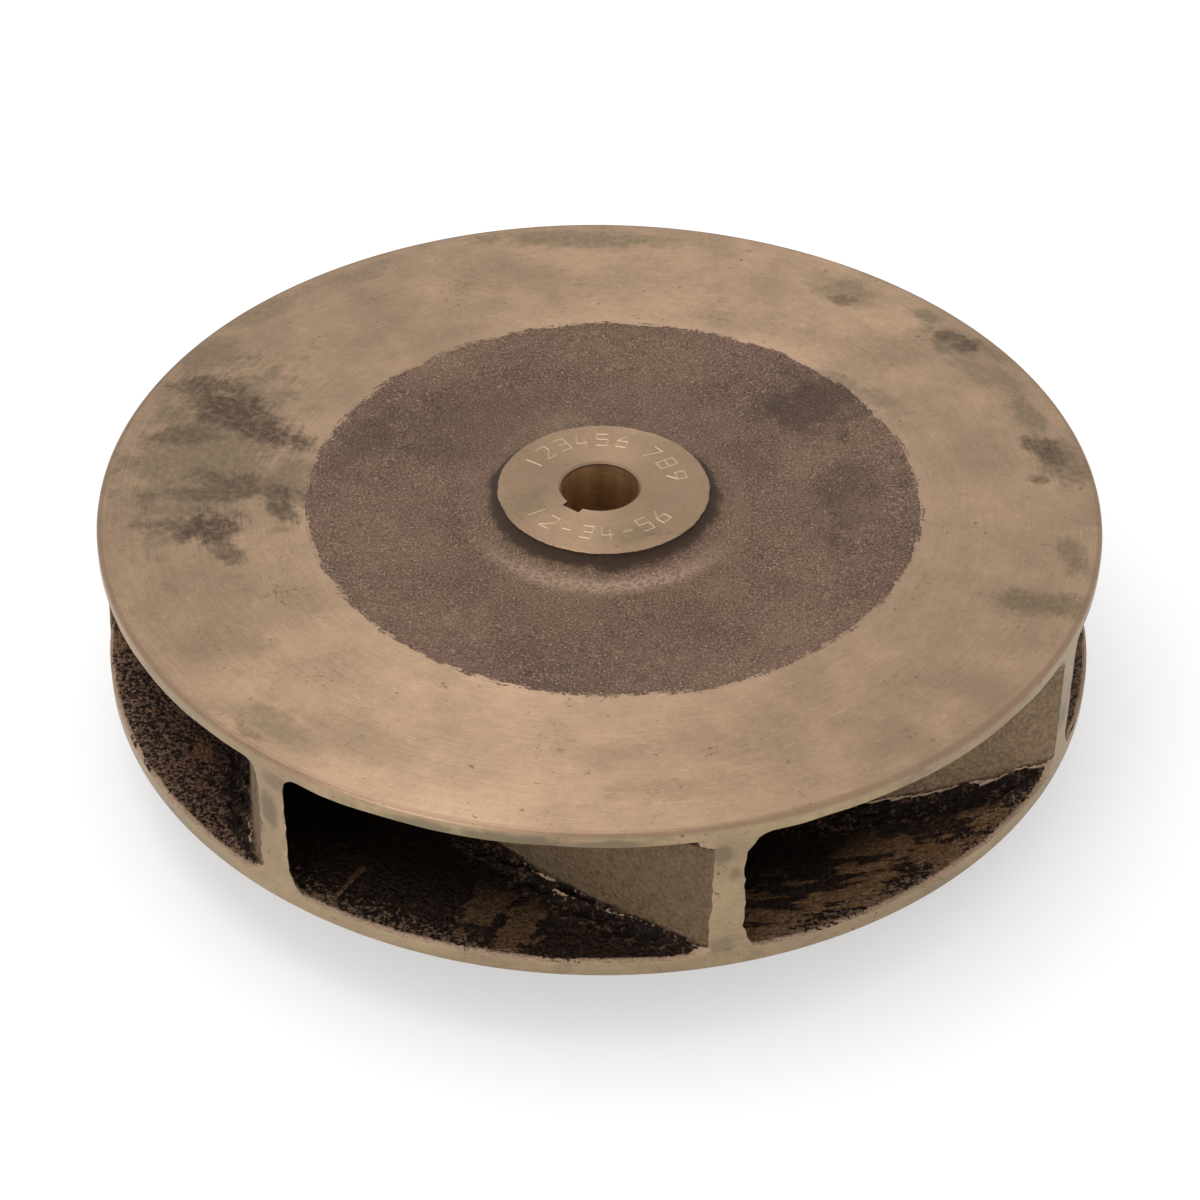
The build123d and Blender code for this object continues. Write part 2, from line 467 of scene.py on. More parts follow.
def section(width, height, sizes):
    """Points (x, y) in mm round a passage section from the floor's low side, and which run each is on."""
    low, ramp, high, roof = sizes
    ramp_in, ramp_up = quarter(ramp, False, RAMP_POINTS)
    high_in, high_down = quarter(high, True, CORNER_POINTS)
    roof_in, roof_down = quarter(roof, False, CORNER_POINTS)
    low_in, low_up = quarter(low, True, CORNER_POINTS)
    face_up = blend(ramp[1], height - high[1], np.linspace(0, 1, FACE_POINTS) ** 1.7)
    back_up = np.linspace(height - roof[1], low[1], BACK_POINTS)
    floor_across = blend(low[0], width - ramp[0], np.linspace(0, 1, FLOOR_POINTS) ** 0.8)
    runs = [
        ("floor", floor_across, np.zeros(FLOOR_POINTS)),
        ("ramp", width - ramp_in, ramp_up),
        ("face", np.full(FACE_POINTS, width), face_up),
        ("corner", width - high_in, height - high_down),
        ("roof", np.linspace(width - high[0], roof[0], ROOF_POINTS), np.full(ROOF_POINTS, height)),
        ("corner", roof_in, height - roof_down),
        ("back", np.zeros(BACK_POINTS), back_up),
        ("corner", low_in, low_up),
    ]
    # each run starts on the last point of the one before it, which is left out
    x = np.concatenate([run[1][1:] for run in runs])
    y = np.concatenate([run[2][1:] for run in runs])
    name = np.concatenate([np.full(len(run[1]) - 1, run[0]) for run in runs])
    return x, y, name


x, y, run_name = section(60, 33, corner_sizes(0, 100))
print("points round a section:", len(x))

# %% [markdown]
# ## Marks of the sand cores
# Sand and core joints leave their marks in the passages. The ramp at the foot of each outer vane
# face is a crust of lumps, a seam of flash runs along its top, and single beads of metal sit below
# it. The biggest beads have places of their own, and small ones are scattered along every ramp by
# a seeded generator, so each run makes the same ones.

# %% Core marks
# passage, radius, height up the ramp, size and height of beads of metal, in mm
BEADS = [
    (0, 102.5, 1.7, 1.9, 2.7), (0, 98.5, 3.0, 1.6, 1.5), (0, 95.0, 2.4, 1.5, 1.3),
    (0, 106.5, 2.8, 1.0, 1.2), (0, 108.5, 3.6, 1.2, 1.0), (1, 113.5, 5.0, 1.1, 1.6),
    (1, 111.0, 3.9, 0.9, 1.0), (6, 116.5, 4.0, 1.2, 1.2), (6, 113.0, 3.0, 1.0, 0.9),
    (3, 104.0, 3.0, 2.0, 1.8), (4, 110.0, 3.5, 1.5, 1.4),
]
# how thickly scale covers a passage's floor, and how light its grains are
FLOOR_SCALE = {0: (0.30, 0.06), 1: (0.02, 0.1), 6: (0.09, 1.0)}
# how light its vane faces are, and how bright its seam of flash is
FACE_LIGHT = {0: 0.5, 1: 1.0}
FLASH_LIGHT = {1: 0.95}


def scatter_beads():
    """Small beads at random along every ramp, added to the big ones."""
    random = np.random.default_rng(12)
    scattered = []
    for passage in range(vane_count):
        for bead_radius in np.arange(92.0, 118.0, 2.4):
            up, size, height = random.uniform((0.3, 0.7, 0.5), (3.8, 1.2, 1.2))
            scattered.append((passage, bead_radius + random.uniform(-1, 1), up, size, height))
    return scattered


BEADS += scatter_beads()
print("beads of metal:", len(BEADS))

# %% [markdown]
# One function says how far every point of a section is pushed into the passage. It adds the waves
# of the sand, the crust, the flash and the beads. A bump map could show them too, but they stand
# out against the bright rim, so their outlines have to be real. The same function gives the masks
# for crust and for bare metal, so colour and shape always agree.

# %% Roughness of a section
def bead_heights(passage, points, from_wall, y, ramp):
    """How far the beads of a passage stand out at each point of a section."""
    ramp_width, ramp_top = ramp
    total = np.zeros(len(y))
    for number, bead_radius, bead_up, size, height in BEADS:
        if number == passage:
            lean = min(1.0, max(0.0, 1 - bead_up / ramp_top))
            bead_in = ramp_width * (1 - sqrt(1 - lean**2))
            beside = np.hypot(from_wall - bead_in, y - bead_up)
            distance = np.hypot(np.hypot(points[:, 0], points[:, 1]) - bead_radius, beside)
            total = total + height * np.exp(-((distance / size) ** 2))
    return total


def roughness(passage, radius, points, from_wall, y, run_name, ramp):
    """How far in mm each section point is pushed in, with the masks for crust and for bare metal."""
    ramp_top = ramp[1]
    inside_rim = 1 - smooth(radius, rim_radius - 1.0, rim_radius)
    on_ramp = (run_name == "ramp") | ((run_name == "face") & (y < ramp_top + 0.9))
    wave = 0.30 * lumps(points, size=17.0, seed=21) + 0.09 * lumps(points, size=2.4, seed=22)
    rough = 0.75 * lumps(points, size=2.6, octaves=3, seed=23)
    rough = rough + 0.35 * lumps(points, size=7.0, octaves=1, seed=24)
    crust = np.where(on_ramp, smooth(radius, 70.0, 82.0) * (0.4 + 0.6 * inside_rim), 0.0)
    crust = crust * np.where(run_name == "ramp", smooth(y, 0.0, 0.5), 1.0)
    strength = np.clip(0.55 + 1.1 * lumps(points, size=5.0, seed=25), 0.0, 1.5) * smooth(radius, 74.0, 86.0)
    flash = np.exp(-(((y - ramp_top - 0.35) / 0.55) ** 2)) * strength * on_ramp
    beads = bead_heights(passage, points, from_wall, y, ramp) * on_ramp
    push = wave + np.maximum(rough, -0.4) * crust + (0.9 * flash + beads) * inside_rim
    lip = smooth(radius, rim_radius - 2.2, rim_radius - 1.2) * ~np.isin(run_name, ("face", "roof"))
    raw = lip * np.clip(1.0 + 0.7 * lumps(points, size=4.0, seed=26), 0, 1)
    seam = flash / np.maximum(strength, 0.4) * FLASH_LIGHT.get(passage, 0.65)
    return push, crust * (1 - lip), np.clip(seam + 0.3 * beads * inside_rim + raw, 0, 1)


print("brightest seams of flash:", FLASH_LIGHT)

# %% [markdown]
# ## Passages
# Each section point is placed in the casting. Its height gives a level between floor and roof, and
# its width a share of the way between the two vanes. Near the leading edges the corners shrink and
# the walls cross, so that neighbouring tubes merge round each vane's nose.
#
# The marks push the points in, along the section's normal. Three attributes go with the points, for
# the material: the masks say vane face, crust and bright metal; the flow place gives the way across,
# along and up, in mm; and the cover says how scaled the floor is, how far in, and how light.

# %% One row of a passage
BEFORE_LEAD = 8.0
# stations near the rim: share of the tube's length past it, and how far the broken lip opens
LIP_STATIONS = [(-0.01875, 0.0), (-0.00875, 0.10), (0.00125, 0.36)]
PAST_RIM, LIP_GAPE = 0.0625, 0.5
CLOSING_FILLS = (0.02, 0.35, 0.7)
PASSAGE_ATTRIBUTES = ("masks", "flow", "cover")


def section_normals(x, y):
    """Unit vectors into the passage at each point of a section."""
    along_x, along_y = np.roll(x, -1) - np.roll(x, 1), np.roll(y, -1) - np.roll(y, 1)
    length = np.hypot(along_x, along_y) + 1e-9
    return -along_y / length, along_x / length


def passage_row(passage, share, grow=0.0, fill=1.0):
    """One section of a tube, with its masks, flow places and cover.

    Share runs from 0 inside the eye to 1 at the rim. Grow opens the section, for the broken edge
    at the rim, and a fill under 1 shrinks it towards its middle.
    """
    radius = blend(lead_radius(0.5) - BEFORE_LEAD, rim_radius, share)
    angle = float(blade_angle(radius, 0.5))
    height = float(roof_height(radius) - floor_height(radius))
    width = radius * pitch * sin(angle) - blend(vane_lead_thickness, vane_thickness, np.clip(share, 0, 1))
    shrink = smooth(share, 0.0, 0.22)
    sizes = [(max(a * shrink, 0.3), max(b * shrink, 0.3)) for a, b in corner_sizes(passage, radius)]
    x, y, run_name = section(width, height, sizes)

    def place(x, y):
        across, level = blend(0.5, x / width, fill), blend(0.5, y / height, fill)
        here = blend(lead_radius(level) - BEFORE_LEAD, rim_radius, share)
        turn = wrap(here, level)
        low_wall = vane_bearing(passage) - turn + half_vane(here, level)
        high_wall = vane_bearing(passage + 1) - turn - half_vane(here, level)
        floor, roof = floor_height(here), roof_height(here)
        return polar(here, blend(low_wall, high_wall, across), blend(floor, roof, level))

    points = place(x, y)
    push, crust, bright = roughness(passage, radius, points, width - x, y, run_name, sizes[1])
    low_lip = np.where((y < 1.0) | (run_name == "ramp"), 2.1, 1.0)
    ragged = grow * low_lip * (1 + 0.9 * lumps(points, size=1.6, seed=31))
    push = push * smooth(share, 0.05, 0.2) - ragged
    normal_x, normal_y = section_normals(x, y)
    points = place(x + normal_x * push, y + normal_y * push)

    face = np.isin(run_name, ("face", "back"))
    scale, grains = FLOOR_SCALE.get(passage, (0.0, 0.2))
    light = np.where(face, FACE_LIGHT.get(passage, 0.7), grains)
    unrubbed = 10.0 * smooth(x / width, 0.45, 0.75) * (passage == 0)
    ones = np.ones(len(x))
    masks = np.stack([face * 1.0, crust, bright], -1)
    flow = np.stack([width - x, ones * (rim_radius - radius) / sin(angle), y], -1)
    cover = np.stack([ones * scale, rim_radius - radius + unrubbed, light], -1)
    return points, masks, flow, cover


print("points in a row of a passage:", len(passage_row(0, 0.5)[0]))

# %% [markdown]
# A tube is some seventy such rows, closer together in its outer part, where the marks are seen. At
# the rim it opens a little, so that the cut leaves a broken lip, and it shrinks to a close at both
# ends.

# %% Passage tubes
def passage_tube(passage):
    inner = np.linspace(0, 0.42, 14)[:-1]
    outer = np.linspace(0.42, 1, 50)[:-1]
    stations = [(0.0, 0.0, fill) for fill in CLOSING_FILLS]
    stations += [(share, 0.0, 1.0) for share in (*inner, *outer)]
    stations += [(1 + past, grow, 1.0) for past, grow in LIP_STATIONS]
    stations += [(1 + PAST_RIM, LIP_GAPE, fill) for fill in (1.0, *CLOSING_FILLS[::-1])]
    sections = [passage_row(passage, *station) for station in stations]
    points, *values = (np.array(part) for part in zip(*sections))
    tube = solid_from_rows(f"passage_{passage + 1}", points, materials["passage_skin"])
    for name, value in zip(PASSAGE_ATTRIBUTES, values):
        attribute = tube.data.attributes.new(name, "FLOAT_VECTOR", "POINT")
        attribute.data.foreach_set("vector", value.reshape(-1))
    return tube


tubes = [passage_tube(number) for number in range(vane_count)]
print("tubes", len(tubes), "with", len(tubes[0].data.polygons), "faces each")

# %% [markdown]
# The eye is one turned cutter. It reaches out past the tubes' inner ends, so nothing is left
# between them, and a hair deeper than the tubes, because two surfaces that lie exactly on each
# other give a boolean cut nothing to decide by.

# %% Eye cutter
def eye_rows(hair=0.05, overlap=3.0, points_round=168):
    profile = [(20.0, -4.0), (eye_radius, -4.0)]
    profile += [(eye_radius, height) for height in np.linspace(0, float(turn_centre[1]) - 0.5, 6)]
    for radius in np.linspace(eye_radius, lead_radius(0) - overlap, 5):
        profile.append((radius, float(floor_height(radius)) - hair))
    for level in np.linspace(0, 1, 20)[1:-1]:
        radius = lead_radius(level) - overlap
        profile.append((radius, float(blend(floor_height(radius), roof_height(radius), level))))
    for radius in np.linspace(lead_radius(1) - overlap, nose_radius + 0.4, 14):
        profile.append((radius, float(roof_height(radius)) + hair))
    profile += [(nose_radius, height) for height in np.linspace(sweep_centre[1], nose_face + nose_round, 8)]
    for turn in np.linspace(0, pi / 2, 5)[1:]:
        profile.append((nose_radius - nose_round * (1 - cos(turn)), nose_face + nose_round * (1 - sin(turn))))
    profile.append((12.0, nose_face))
    around = np.arange(points_round) * 2 * pi / points_round
    return np.array([polar(radius, around, height) for radius, height in profile])


eye = solid_from_rows("eye_cutter", eye_rows(), materials["turned_bronze"])
print("eye cutter", len(eye.data.polygons), "faces")

# %% [markdown]
# The bore and its keyway are cut by one prism: a circle with a square tooth. The mouth chamfers
# are part of it, as rows that widen at both ends.

# %% Bore cutter
def bore_outline(radius, around=96):
    """Bore circle with the keyway as a tooth, turned to the keyway's bearing."""
    half = keyway_width / 2
    start = np.arcsin(half / radius)
    points = [(radius * cos(turn), radius * sin(turn)) for turn in np.linspace(start, 2 * pi - start, around)]
    points += [(keyway_reach, -half), (keyway_reach, half)]
    cosine, sine = cos(keyway_bearing), sin(keyway_bearing)
    return np.array(points) @ np.array([[cosine, -sine], [sine, cosine]]).T


def bore_rows(chamfer=0.5, past=4.0):
    levels = [
        (nose_face - past, chamfer + past),
        (nose_face + chamfer, 0.0),
        (hub_face - chamfer, 0.0),
        (hub_face + past, chamfer + past),
    ]
    rows = []
    for height, grow in levels:
        outline = bore_outline(bore_radius + grow)
        rows.append(np.column_stack([outline, np.full(len(outline), height)]))
    return np.array(rows)


bore = solid_from_rows("bore_cutter", bore_rows(), materials["bored_bronze"])
print("bore cutter", len(bore.data.polygons), "faces")

# %% [markdown]
# The hub face carries hand-cut numbers. They stand here as plain counting numbers. A text object
# could give them, but a font's round, even letters would look printed; each digit here is a few
# straight strokes on a small grid, as a hand tool cuts them.

# %% Digits
NUMBER_RADIUS, NUMBER_HEIGHT, NUMBER_WIDTH = 18.7, 4.6, 2.7
STROKE_WIDTH, STROKE_DEPTH = 0.38, 0.12
# lines through grid points: x 0..2 from left to right, y 0..4 from foot to top
DIGIT_LINES = {
    "1": [[(1, 0), (1, 4)]],
    "2": [[(0, 4), (2, 4), (2, 2.4), (0, 0), (2, 0)]],
    "3": [[(0, 4), (2, 4), (2, 0)], [(0.5, 2), (2, 2)], [(0, 0), (2, 0)]],
    "4": [[(0.2, 4), (0, 1.4), (2, 1.4)], [(1.5, 3), (1.5, 0)]],
    "5": [[(2, 4), (0, 4), (0, 2.2), (2, 2.2), (2, 0), (0, 0)]],
    "6": [[(1.6, 4), (0, 2), (0, 0), (2, 0), (2, 2), (0, 2)]],
    "7": [[(0, 4), (2, 4), (0.6, 0)]],
    "8": [[(0, 0), (2, 0), (2, 4), (0, 4), (0, 0)], [(0, 2), (2, 2)]],
    "9": [[(2, 2), (0, 2), (0, 4), (2, 4), (2, 2), (0.5, 0)]],
    "-": [[(0.2, 2), (1.8, 2)]],
}


def digit_strokes(character, centre, up):
    """Start and end points on the hub face of a digit's strokes."""
    across, along = np.array([up[1], -up[0]]) * NUMBER_WIDTH, up * NUMBER_HEIGHT
    for line in DIGIT_LINES[character]:
        places = [centre + across * (x / 2 - 0.5) + along * (y / 4 - 0.5) for x, y in line]
        yield from zip(places, places[1:])


for digit, lines in DIGIT_LINES.items():
    print("digit", digit, "has", sum(len(line) - 1 for line in lines), "strokes")

# %% [markdown]
# Each stroke is a wedge-shaped prism that the boolean takes out, so the groove has a real V shape
# that catches the light. The digits lean a little to either side, by a fixed pattern.

# %% Number cutters
def stroke_cutter(start, end):
    """A prism with a V section along one stroke in the hub face."""
    along = np.subtract(end, start)
    along = along / np.hypot(*along)
    side = np.array([-along[1], along[0]]) * STROKE_WIDTH / 2
    rows = []
    for point, sign in ((start, -1), (end, 1)):
        far = point + along * sign * STROKE_WIDTH * 0.4
        corners = [far + side * 1.4, far - side * 1.4]
        section = [(*corner, hub_face + STROKE_DEPTH * 0.4) for corner in corners]
        rows.append(section + [(*point, hub_face - STROKE_DEPTH)])
    return solid_from_rows("stroke", np.array(rows), materials["cut_bronze"])


def number_cutters(text, middle_bearing, step, upright=1):
    """Strokes for a number round the hub; upright is 1 for feet inwards, -1 for feet outwards."""
    cutters = []
    for index, character in enumerate(text):
        place = index - (len(text) - 1) / 2
        bearing = radians(middle_bearing - upright * place * step)
        tilt = 4 * ((index * 7) % 3 - 1)
        centre = polar(NUMBER_RADIUS + 0.06 * tilt, bearing, 0.0)[:2]
        up = polar(upright, bearing + radians(tilt), 0.0)[:2]
        cutters += [stroke_cutter(start, end) for start, end in digit_strokes(character, centre, up)]
    return cutters


numbers = number_cutters("123456", 112.0, 15.5) + number_cutters("789", 30.0, 17.0)
numbers += number_cutters("12-34-56", -92.0, 15.0, upright=-1)
print("strokes cut into the hub face:", len(numbers))

# %% [markdown]
# ## Cutting
# One boolean modifier takes a collection of cutters. The manifold solver is fast and keeps the
# mesh watertight.

# %% Cut the casting
def cut(target, cutters):
    """Cuts watertight solids out of a watertight target and removes the cutters."""
    group = bpy.data.collections.new(target.name + "_cutters")
    for cutter in cutters:
        group.objects.link(cutter)
    modifier = target.modifiers.new("cut", "BOOLEAN")
    modifier.operation = "DIFFERENCE"
    modifier.solver = "MANIFOLD"
    modifier.operand_type = "COLLECTION"
    modifier.collection = group
    modifier.material_mode = "TRANSFER"
    graph = bpy.context.evaluated_depsgraph_get()
    graph.update()
    result = bpy.data.meshes.new_from_object(target.evaluated_get(graph))
    target.modifiers.clear()
    target.data = result
    for cutter in cutters:
        bpy.data.meshes.remove(cutter.data)
    bpy.data.collections.remove(group)


cut(casting, tubes + [eye, bore] + numbers)
print("casting", len(casting.data.vertices), "points", len(casting.data.polygons), "faces")
print("materials", [material.name for material in casting.data.materials])

# %% [markdown]
# ## Which finish goes where
# The cutters have marked the water's surfaces. The outside still has one material, so its faces
# are sorted by their place: the rim and the eye ring are turned, the front shroud is as cast. The
# eye cutter leaves turned metal too, but the curves under and over the water are as cast there.

# %% Sort the faces
def column(data, name, width=1, kind=float):
    """One value or vector from each item of a mesh's data, as an array."""
    values = np.zeros(len(data) * width, kind)
    data.foreach_get(name, values)
    return values.reshape(-1, width) if width > 1 else values


def assign_finishes(mesh):
    for name in MATERIAL_NAMES:
        if mesh.materials.find(name) < 0:
            mesh.materials.append(materials[name])
    slots = {material.name: index for index, material in enumerate(mesh.materials)}
    centres = column(mesh.polygons, "center", 3)
    radius, height = np.hypot(centres[:, 0], centres[:, 1]), centres[:, 2]
    kind = column(mesh.polygons, "material_index", kind=np.int32)
    outer = kind == slots["back_face"]
    wet = kind == slots["turned_bronze"]
    rim = (height < back_face - back_edge_round * 0.5) & (radius > disc_radius + 4)
    shroud = (height < rim_foot + 0.4) & (radius < rim_radius - 1) & (radius > ring_radius + 1.5)
    ring = (height < rim_foot) & (radius < ring_radius + 1.5)
    eye_roof = (radius < lead_radius(0)) & (height > turn_centre[1] + 0.5) & (height > nose_face + 0.2)
    eye_turn_face = (radius > eye_radius + 0.2) & (height > turn_centre[1] - 1)
    kind[outer & rim] = slots["turned_bronze"]
    kind[outer & shroud] = slots["cast_skin"]
    kind[outer & ring] = slots["turned_bronze"]
    kind[wet & (eye_roof | eye_turn_face)] = slots["passage_skin"]
    mesh.polygons.foreach_set("material_index", kind)
    for name, slot in slots.items():
        print(name, "faces:", int((kind == slot).sum()))


assign_finishes(casting.data)

# %% [markdown]
# The back face is cast inside the disc's ragged edge and turned outside it. A border that follows
# the faces would be as coarse as they are. So a vertex attribute holds how far each point lies
# inside the cast area, in mm, and the material, which reads it, draws a border sharper than the
# mesh.

# %% Mark the cast area
def mark_cast_area(mesh):
    points = column(mesh.vertices, "co", 3)
    offset = points[:, :2] - np.array(disc_centre)
    bearing = np.arctan2(offset[:, 1], offset[:, 0])
    distance = np.hypot(offset[:, 0], offset[:, 1])
    depth = np.full(len(points), -6.0)
    near = distance < disc_radius + 6
    depth[near] = disc_edge(bearing[near]) - distance[near]
    attribute = mesh.attributes.new("cast_depth", "FLOAT", "POINT")
    attribute.data.foreach_set("value", np.clip(depth, -6.0, 6.0))
    print("points inside the cast area:", int((depth > 0).sum()))


mark_cast_area(casting.data)

# %% [markdown]
# ## Borders between the surfaces
# A boolean cut makes new points where a passage meets the rim, and they hold nothing in the tubes'
# attributes. The points next to them, further in, lend them theirs.

# %% Carry the attributes to the rim
def on_corners(mesh, names):
    """For each face corner, whether its face has one of these materials."""
    kind = column(mesh.polygons, "material_index", kind=np.int32)
    sides = column(mesh.polygons, "loop_total", kind=np.int32)
    return np.repeat(np.isin(kind, [mesh.materials.find(name) for name in names]), sides)


def carry_to_rim(mesh):
    """Gives the points where a passage meets the rim the attributes of the points beside them."""
    layers = [mesh.attributes[name].data for name in PASSAGE_ATTRIBUTES]
    values = np.concatenate([column(layer, "vector", 3) for layer in layers], 1)
    points = column(mesh.vertices, "co", 3)
    wet = np.zeros(len(points), bool)
    wet[column(mesh.loops, "vertex_index", kind=np.int32)[on_corners(mesh, ["passage_skin"])]] = True
    known = wet & (np.hypot(points[:, 0], points[:, 1]) < rim_radius - 0.3)
    ends = column(mesh.edges, "vertices", 2, np.int32)
    ends = np.concatenate([ends, ends[:, ::-1]])
    ends = ends[wet[ends].all(axis=1)]
    for _ in range(3):
        target, source = ends[~known[ends[:, 0]] & known[ends[:, 1]]].T
        count = np.bincount(target, minlength=len(points))
        found = count > 0
        for axis in range(values.shape[1]):
            total = np.bincount(target, weights=values[source, axis], minlength=len(points))
            values[found, axis] = total[found] / count[found]
        known |= found
        print("rim points given their neighbours' attributes:", int(found.sum()))
    for layer, part in zip(layers, np.split(values, len(layers), axis=1)):
        layer.foreach_set("vector", np.ascontiguousarray(part).reshape(-1))


carry_to_rim(casting.data)

# %% [markdown]
# The mesh goes from millimetres to metres and is shaded smooth, apart from its sharp corners. The
# edges round the grooves and the passages are made sharp too, however blunt they are, because
# smooth shading across them would bend the light on the flat faces beside them.

# %% Smooth faces and sharp edges
def sharpen_borders(mesh):
    """Makes the edges round grooves and passages sharp, apart from those made sharp by angle."""
    edge = column(mesh.loops, "edge_index", kind=np.int32)
    in_cut = on_corners(mesh, ["cut_bronze", "passage_skin"])
    cut_sides = np.bincount(edge, weights=in_cut, minlength=len(mesh.edges))
    layer = mesh.attributes["sharp_edge"].data
    layer.foreach_set("value", column(layer, "value", kind=bool) | (cut_sides == 1))
    print("edges round grooves and passages:", int((cut_sides == 1).sum()))


casting.data.transform(Matrix.Scale(MM, 4))
casting.data.shade_smooth()
casting.data.set_sharp_from_angle(angle=radians(38))
sharpen_borders(casting.data)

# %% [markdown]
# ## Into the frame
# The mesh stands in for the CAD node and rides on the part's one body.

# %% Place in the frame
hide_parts("impeller")
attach(casting, "root")
print("triangles", sum(len(polygon.vertices) - 2 for polygon in casting.data.polygons))

# %% [markdown]
# ## Node helpers
# Materials are node trees. A few small functions keep them readable. The first adds a node with its
# inputs filled in by name, and the others are the few kinds of sum that the finishes here need.

# %% Node helpers
FLOAT, COLOUR, VECTOR = "NodeSocketFloat", "NodeSocketColor", "NodeSocketVector"


def add(tree, kind, inputs=None, **settings):
    """Adds a node. Inputs maps a socket's name or number to a value or to another node's output."""
    node = tree.nodes.new(kind)
    for name, value in settings.items():
        setattr(node, name, value)
    for name, value in (inputs or {}).items():
        if isinstance(value, bpy.types.NodeSocket):
            tree.links.new(value, node.inputs[name])
        else:
            node.inputs[name].default_value = value
    return node


def math(tree, operation, *values, clamp=False):
    node = add(tree, "ShaderNodeMath", dict(enumerate(values)), operation=operation, use_clamp=clamp)
    return node.outputs[0]


def vector_math(tree, operation, *values):
    node = add(tree, "ShaderNodeVectorMath", dict(enumerate(values)), operation=operation)
    return node.outputs["Value" if operation == "LENGTH" else "Vector"]


def weighted(tree, start, *terms):
    """Adds each value times its weight to a start."""
    for value, weight in terms:
        start = math(tree, "MULTIPLY_ADD", value, weight, start)
    return start


def parts(tree, vector):
    """The X, Y and Z of a vector."""
    return add(tree, "ShaderNodeSeparateXYZ", {"Vector": vector}).outputs


def flattened(tree, vector):
    return vector_math(tree, "MULTIPLY", vector, (1.0, 1.0, 0.0))


print("sums:", [helper.__name__ for helper in (math, vector_math, weighted, parts, flattened)])

# %% [markdown]
# Every finish is built from the same four nodes: one maps a value to another range, one mixes
# colours, one gives the noise that breaks things up, and one turns a height into a tilted normal.

# %% Ranges, colours, noise and bump
def remap(tree, value, low, high, to_low=0.0, to_high=1.0):
    """Maps low..high smoothly to two other values."""
    inputs = {"Value": value, "From Min": low, "From Max": high, "To Min": to_low, "To Max": to_high}
    return add(tree, "ShaderNodeMapRange", inputs, interpolation_type="SMOOTHSTEP").outputs["Result"]


def mix_colour(tree, share, first, second, blend_type="MIX"):
    """Mixes two colours; the numbers are the colour sockets of the mix node."""
    inputs = {0: share, 6: first, 7: second}
    return add(tree, "ShaderNodeMix", inputs, data_type="RGBA", blend_type=blend_type).outputs[2]


def grain(tree, vector, scale, detail=3.0, roughness=0.6):
    inputs = {"Vector": vector, "Scale": scale, "Detail": detail, "Roughness": roughness}
    return add(tree, "ShaderNodeTexNoise", inputs).outputs["Fac"]


def bump(tree, height, strength, distance):
    inputs = {"Height": height, "Strength": strength, "Distance": distance}
    return add(tree, "ShaderNodeBump", inputs).outputs["Normal"]


print("building nodes:", [helper.__name__ for helper in (remap, mix_colour, grain, bump)])

# %% [markdown]
# An effect that more than one material uses is a node group. It is made once, with named inputs and
# outputs, and each material gives it values of its own. The groups here put out colours, masks,
# values and normals; the shaders stay in the materials.

# %% Group helpers
def new_group(name, inputs, outputs):
    """A shader node group; inputs are (name, socket type, value) and outputs (name, socket type)."""
    group = bpy.data.node_groups.new(name, "ShaderNodeTree")
    for label, kind, value in inputs:
        group.interface.new_socket(label, in_out="INPUT", socket_type=kind).default_value = value
    for label, kind in outputs:
        group.interface.new_socket(label, in_out="OUTPUT", socket_type=kind)
    return group, group.nodes.new("NodeGroupInput").outputs, group.nodes.new("NodeGroupOutput").inputs


def put_out(group, result, values):
    """Links values to a group's outputs and returns the group."""
    for name, value in values.items():
        group.links.new(value, result[name])
    print("group", group.name, "gives", ", ".join(values))
    return group


def use(tree, group, inputs):
    """Adds a group to a tree and returns its outputs."""
    return add(tree, "ShaderNodeGroup", inputs, node_tree=group).outputs


print("group sockets are:", FLOAT, COLOUR, VECTOR)

# %% [markdown]
# ## Turned metal
# A lathe leaves fine rings. They are a noise that changes fast with radius and height, and hardly
# with the bearing. The group gives a colour, a roughness and a normal; the shader itself stays in
# each material, with anisotropy on, so that the rings draw their highlights out.

# %% Turned finish group
BROWNED = (0.27, 0.18, 0.118, 1)


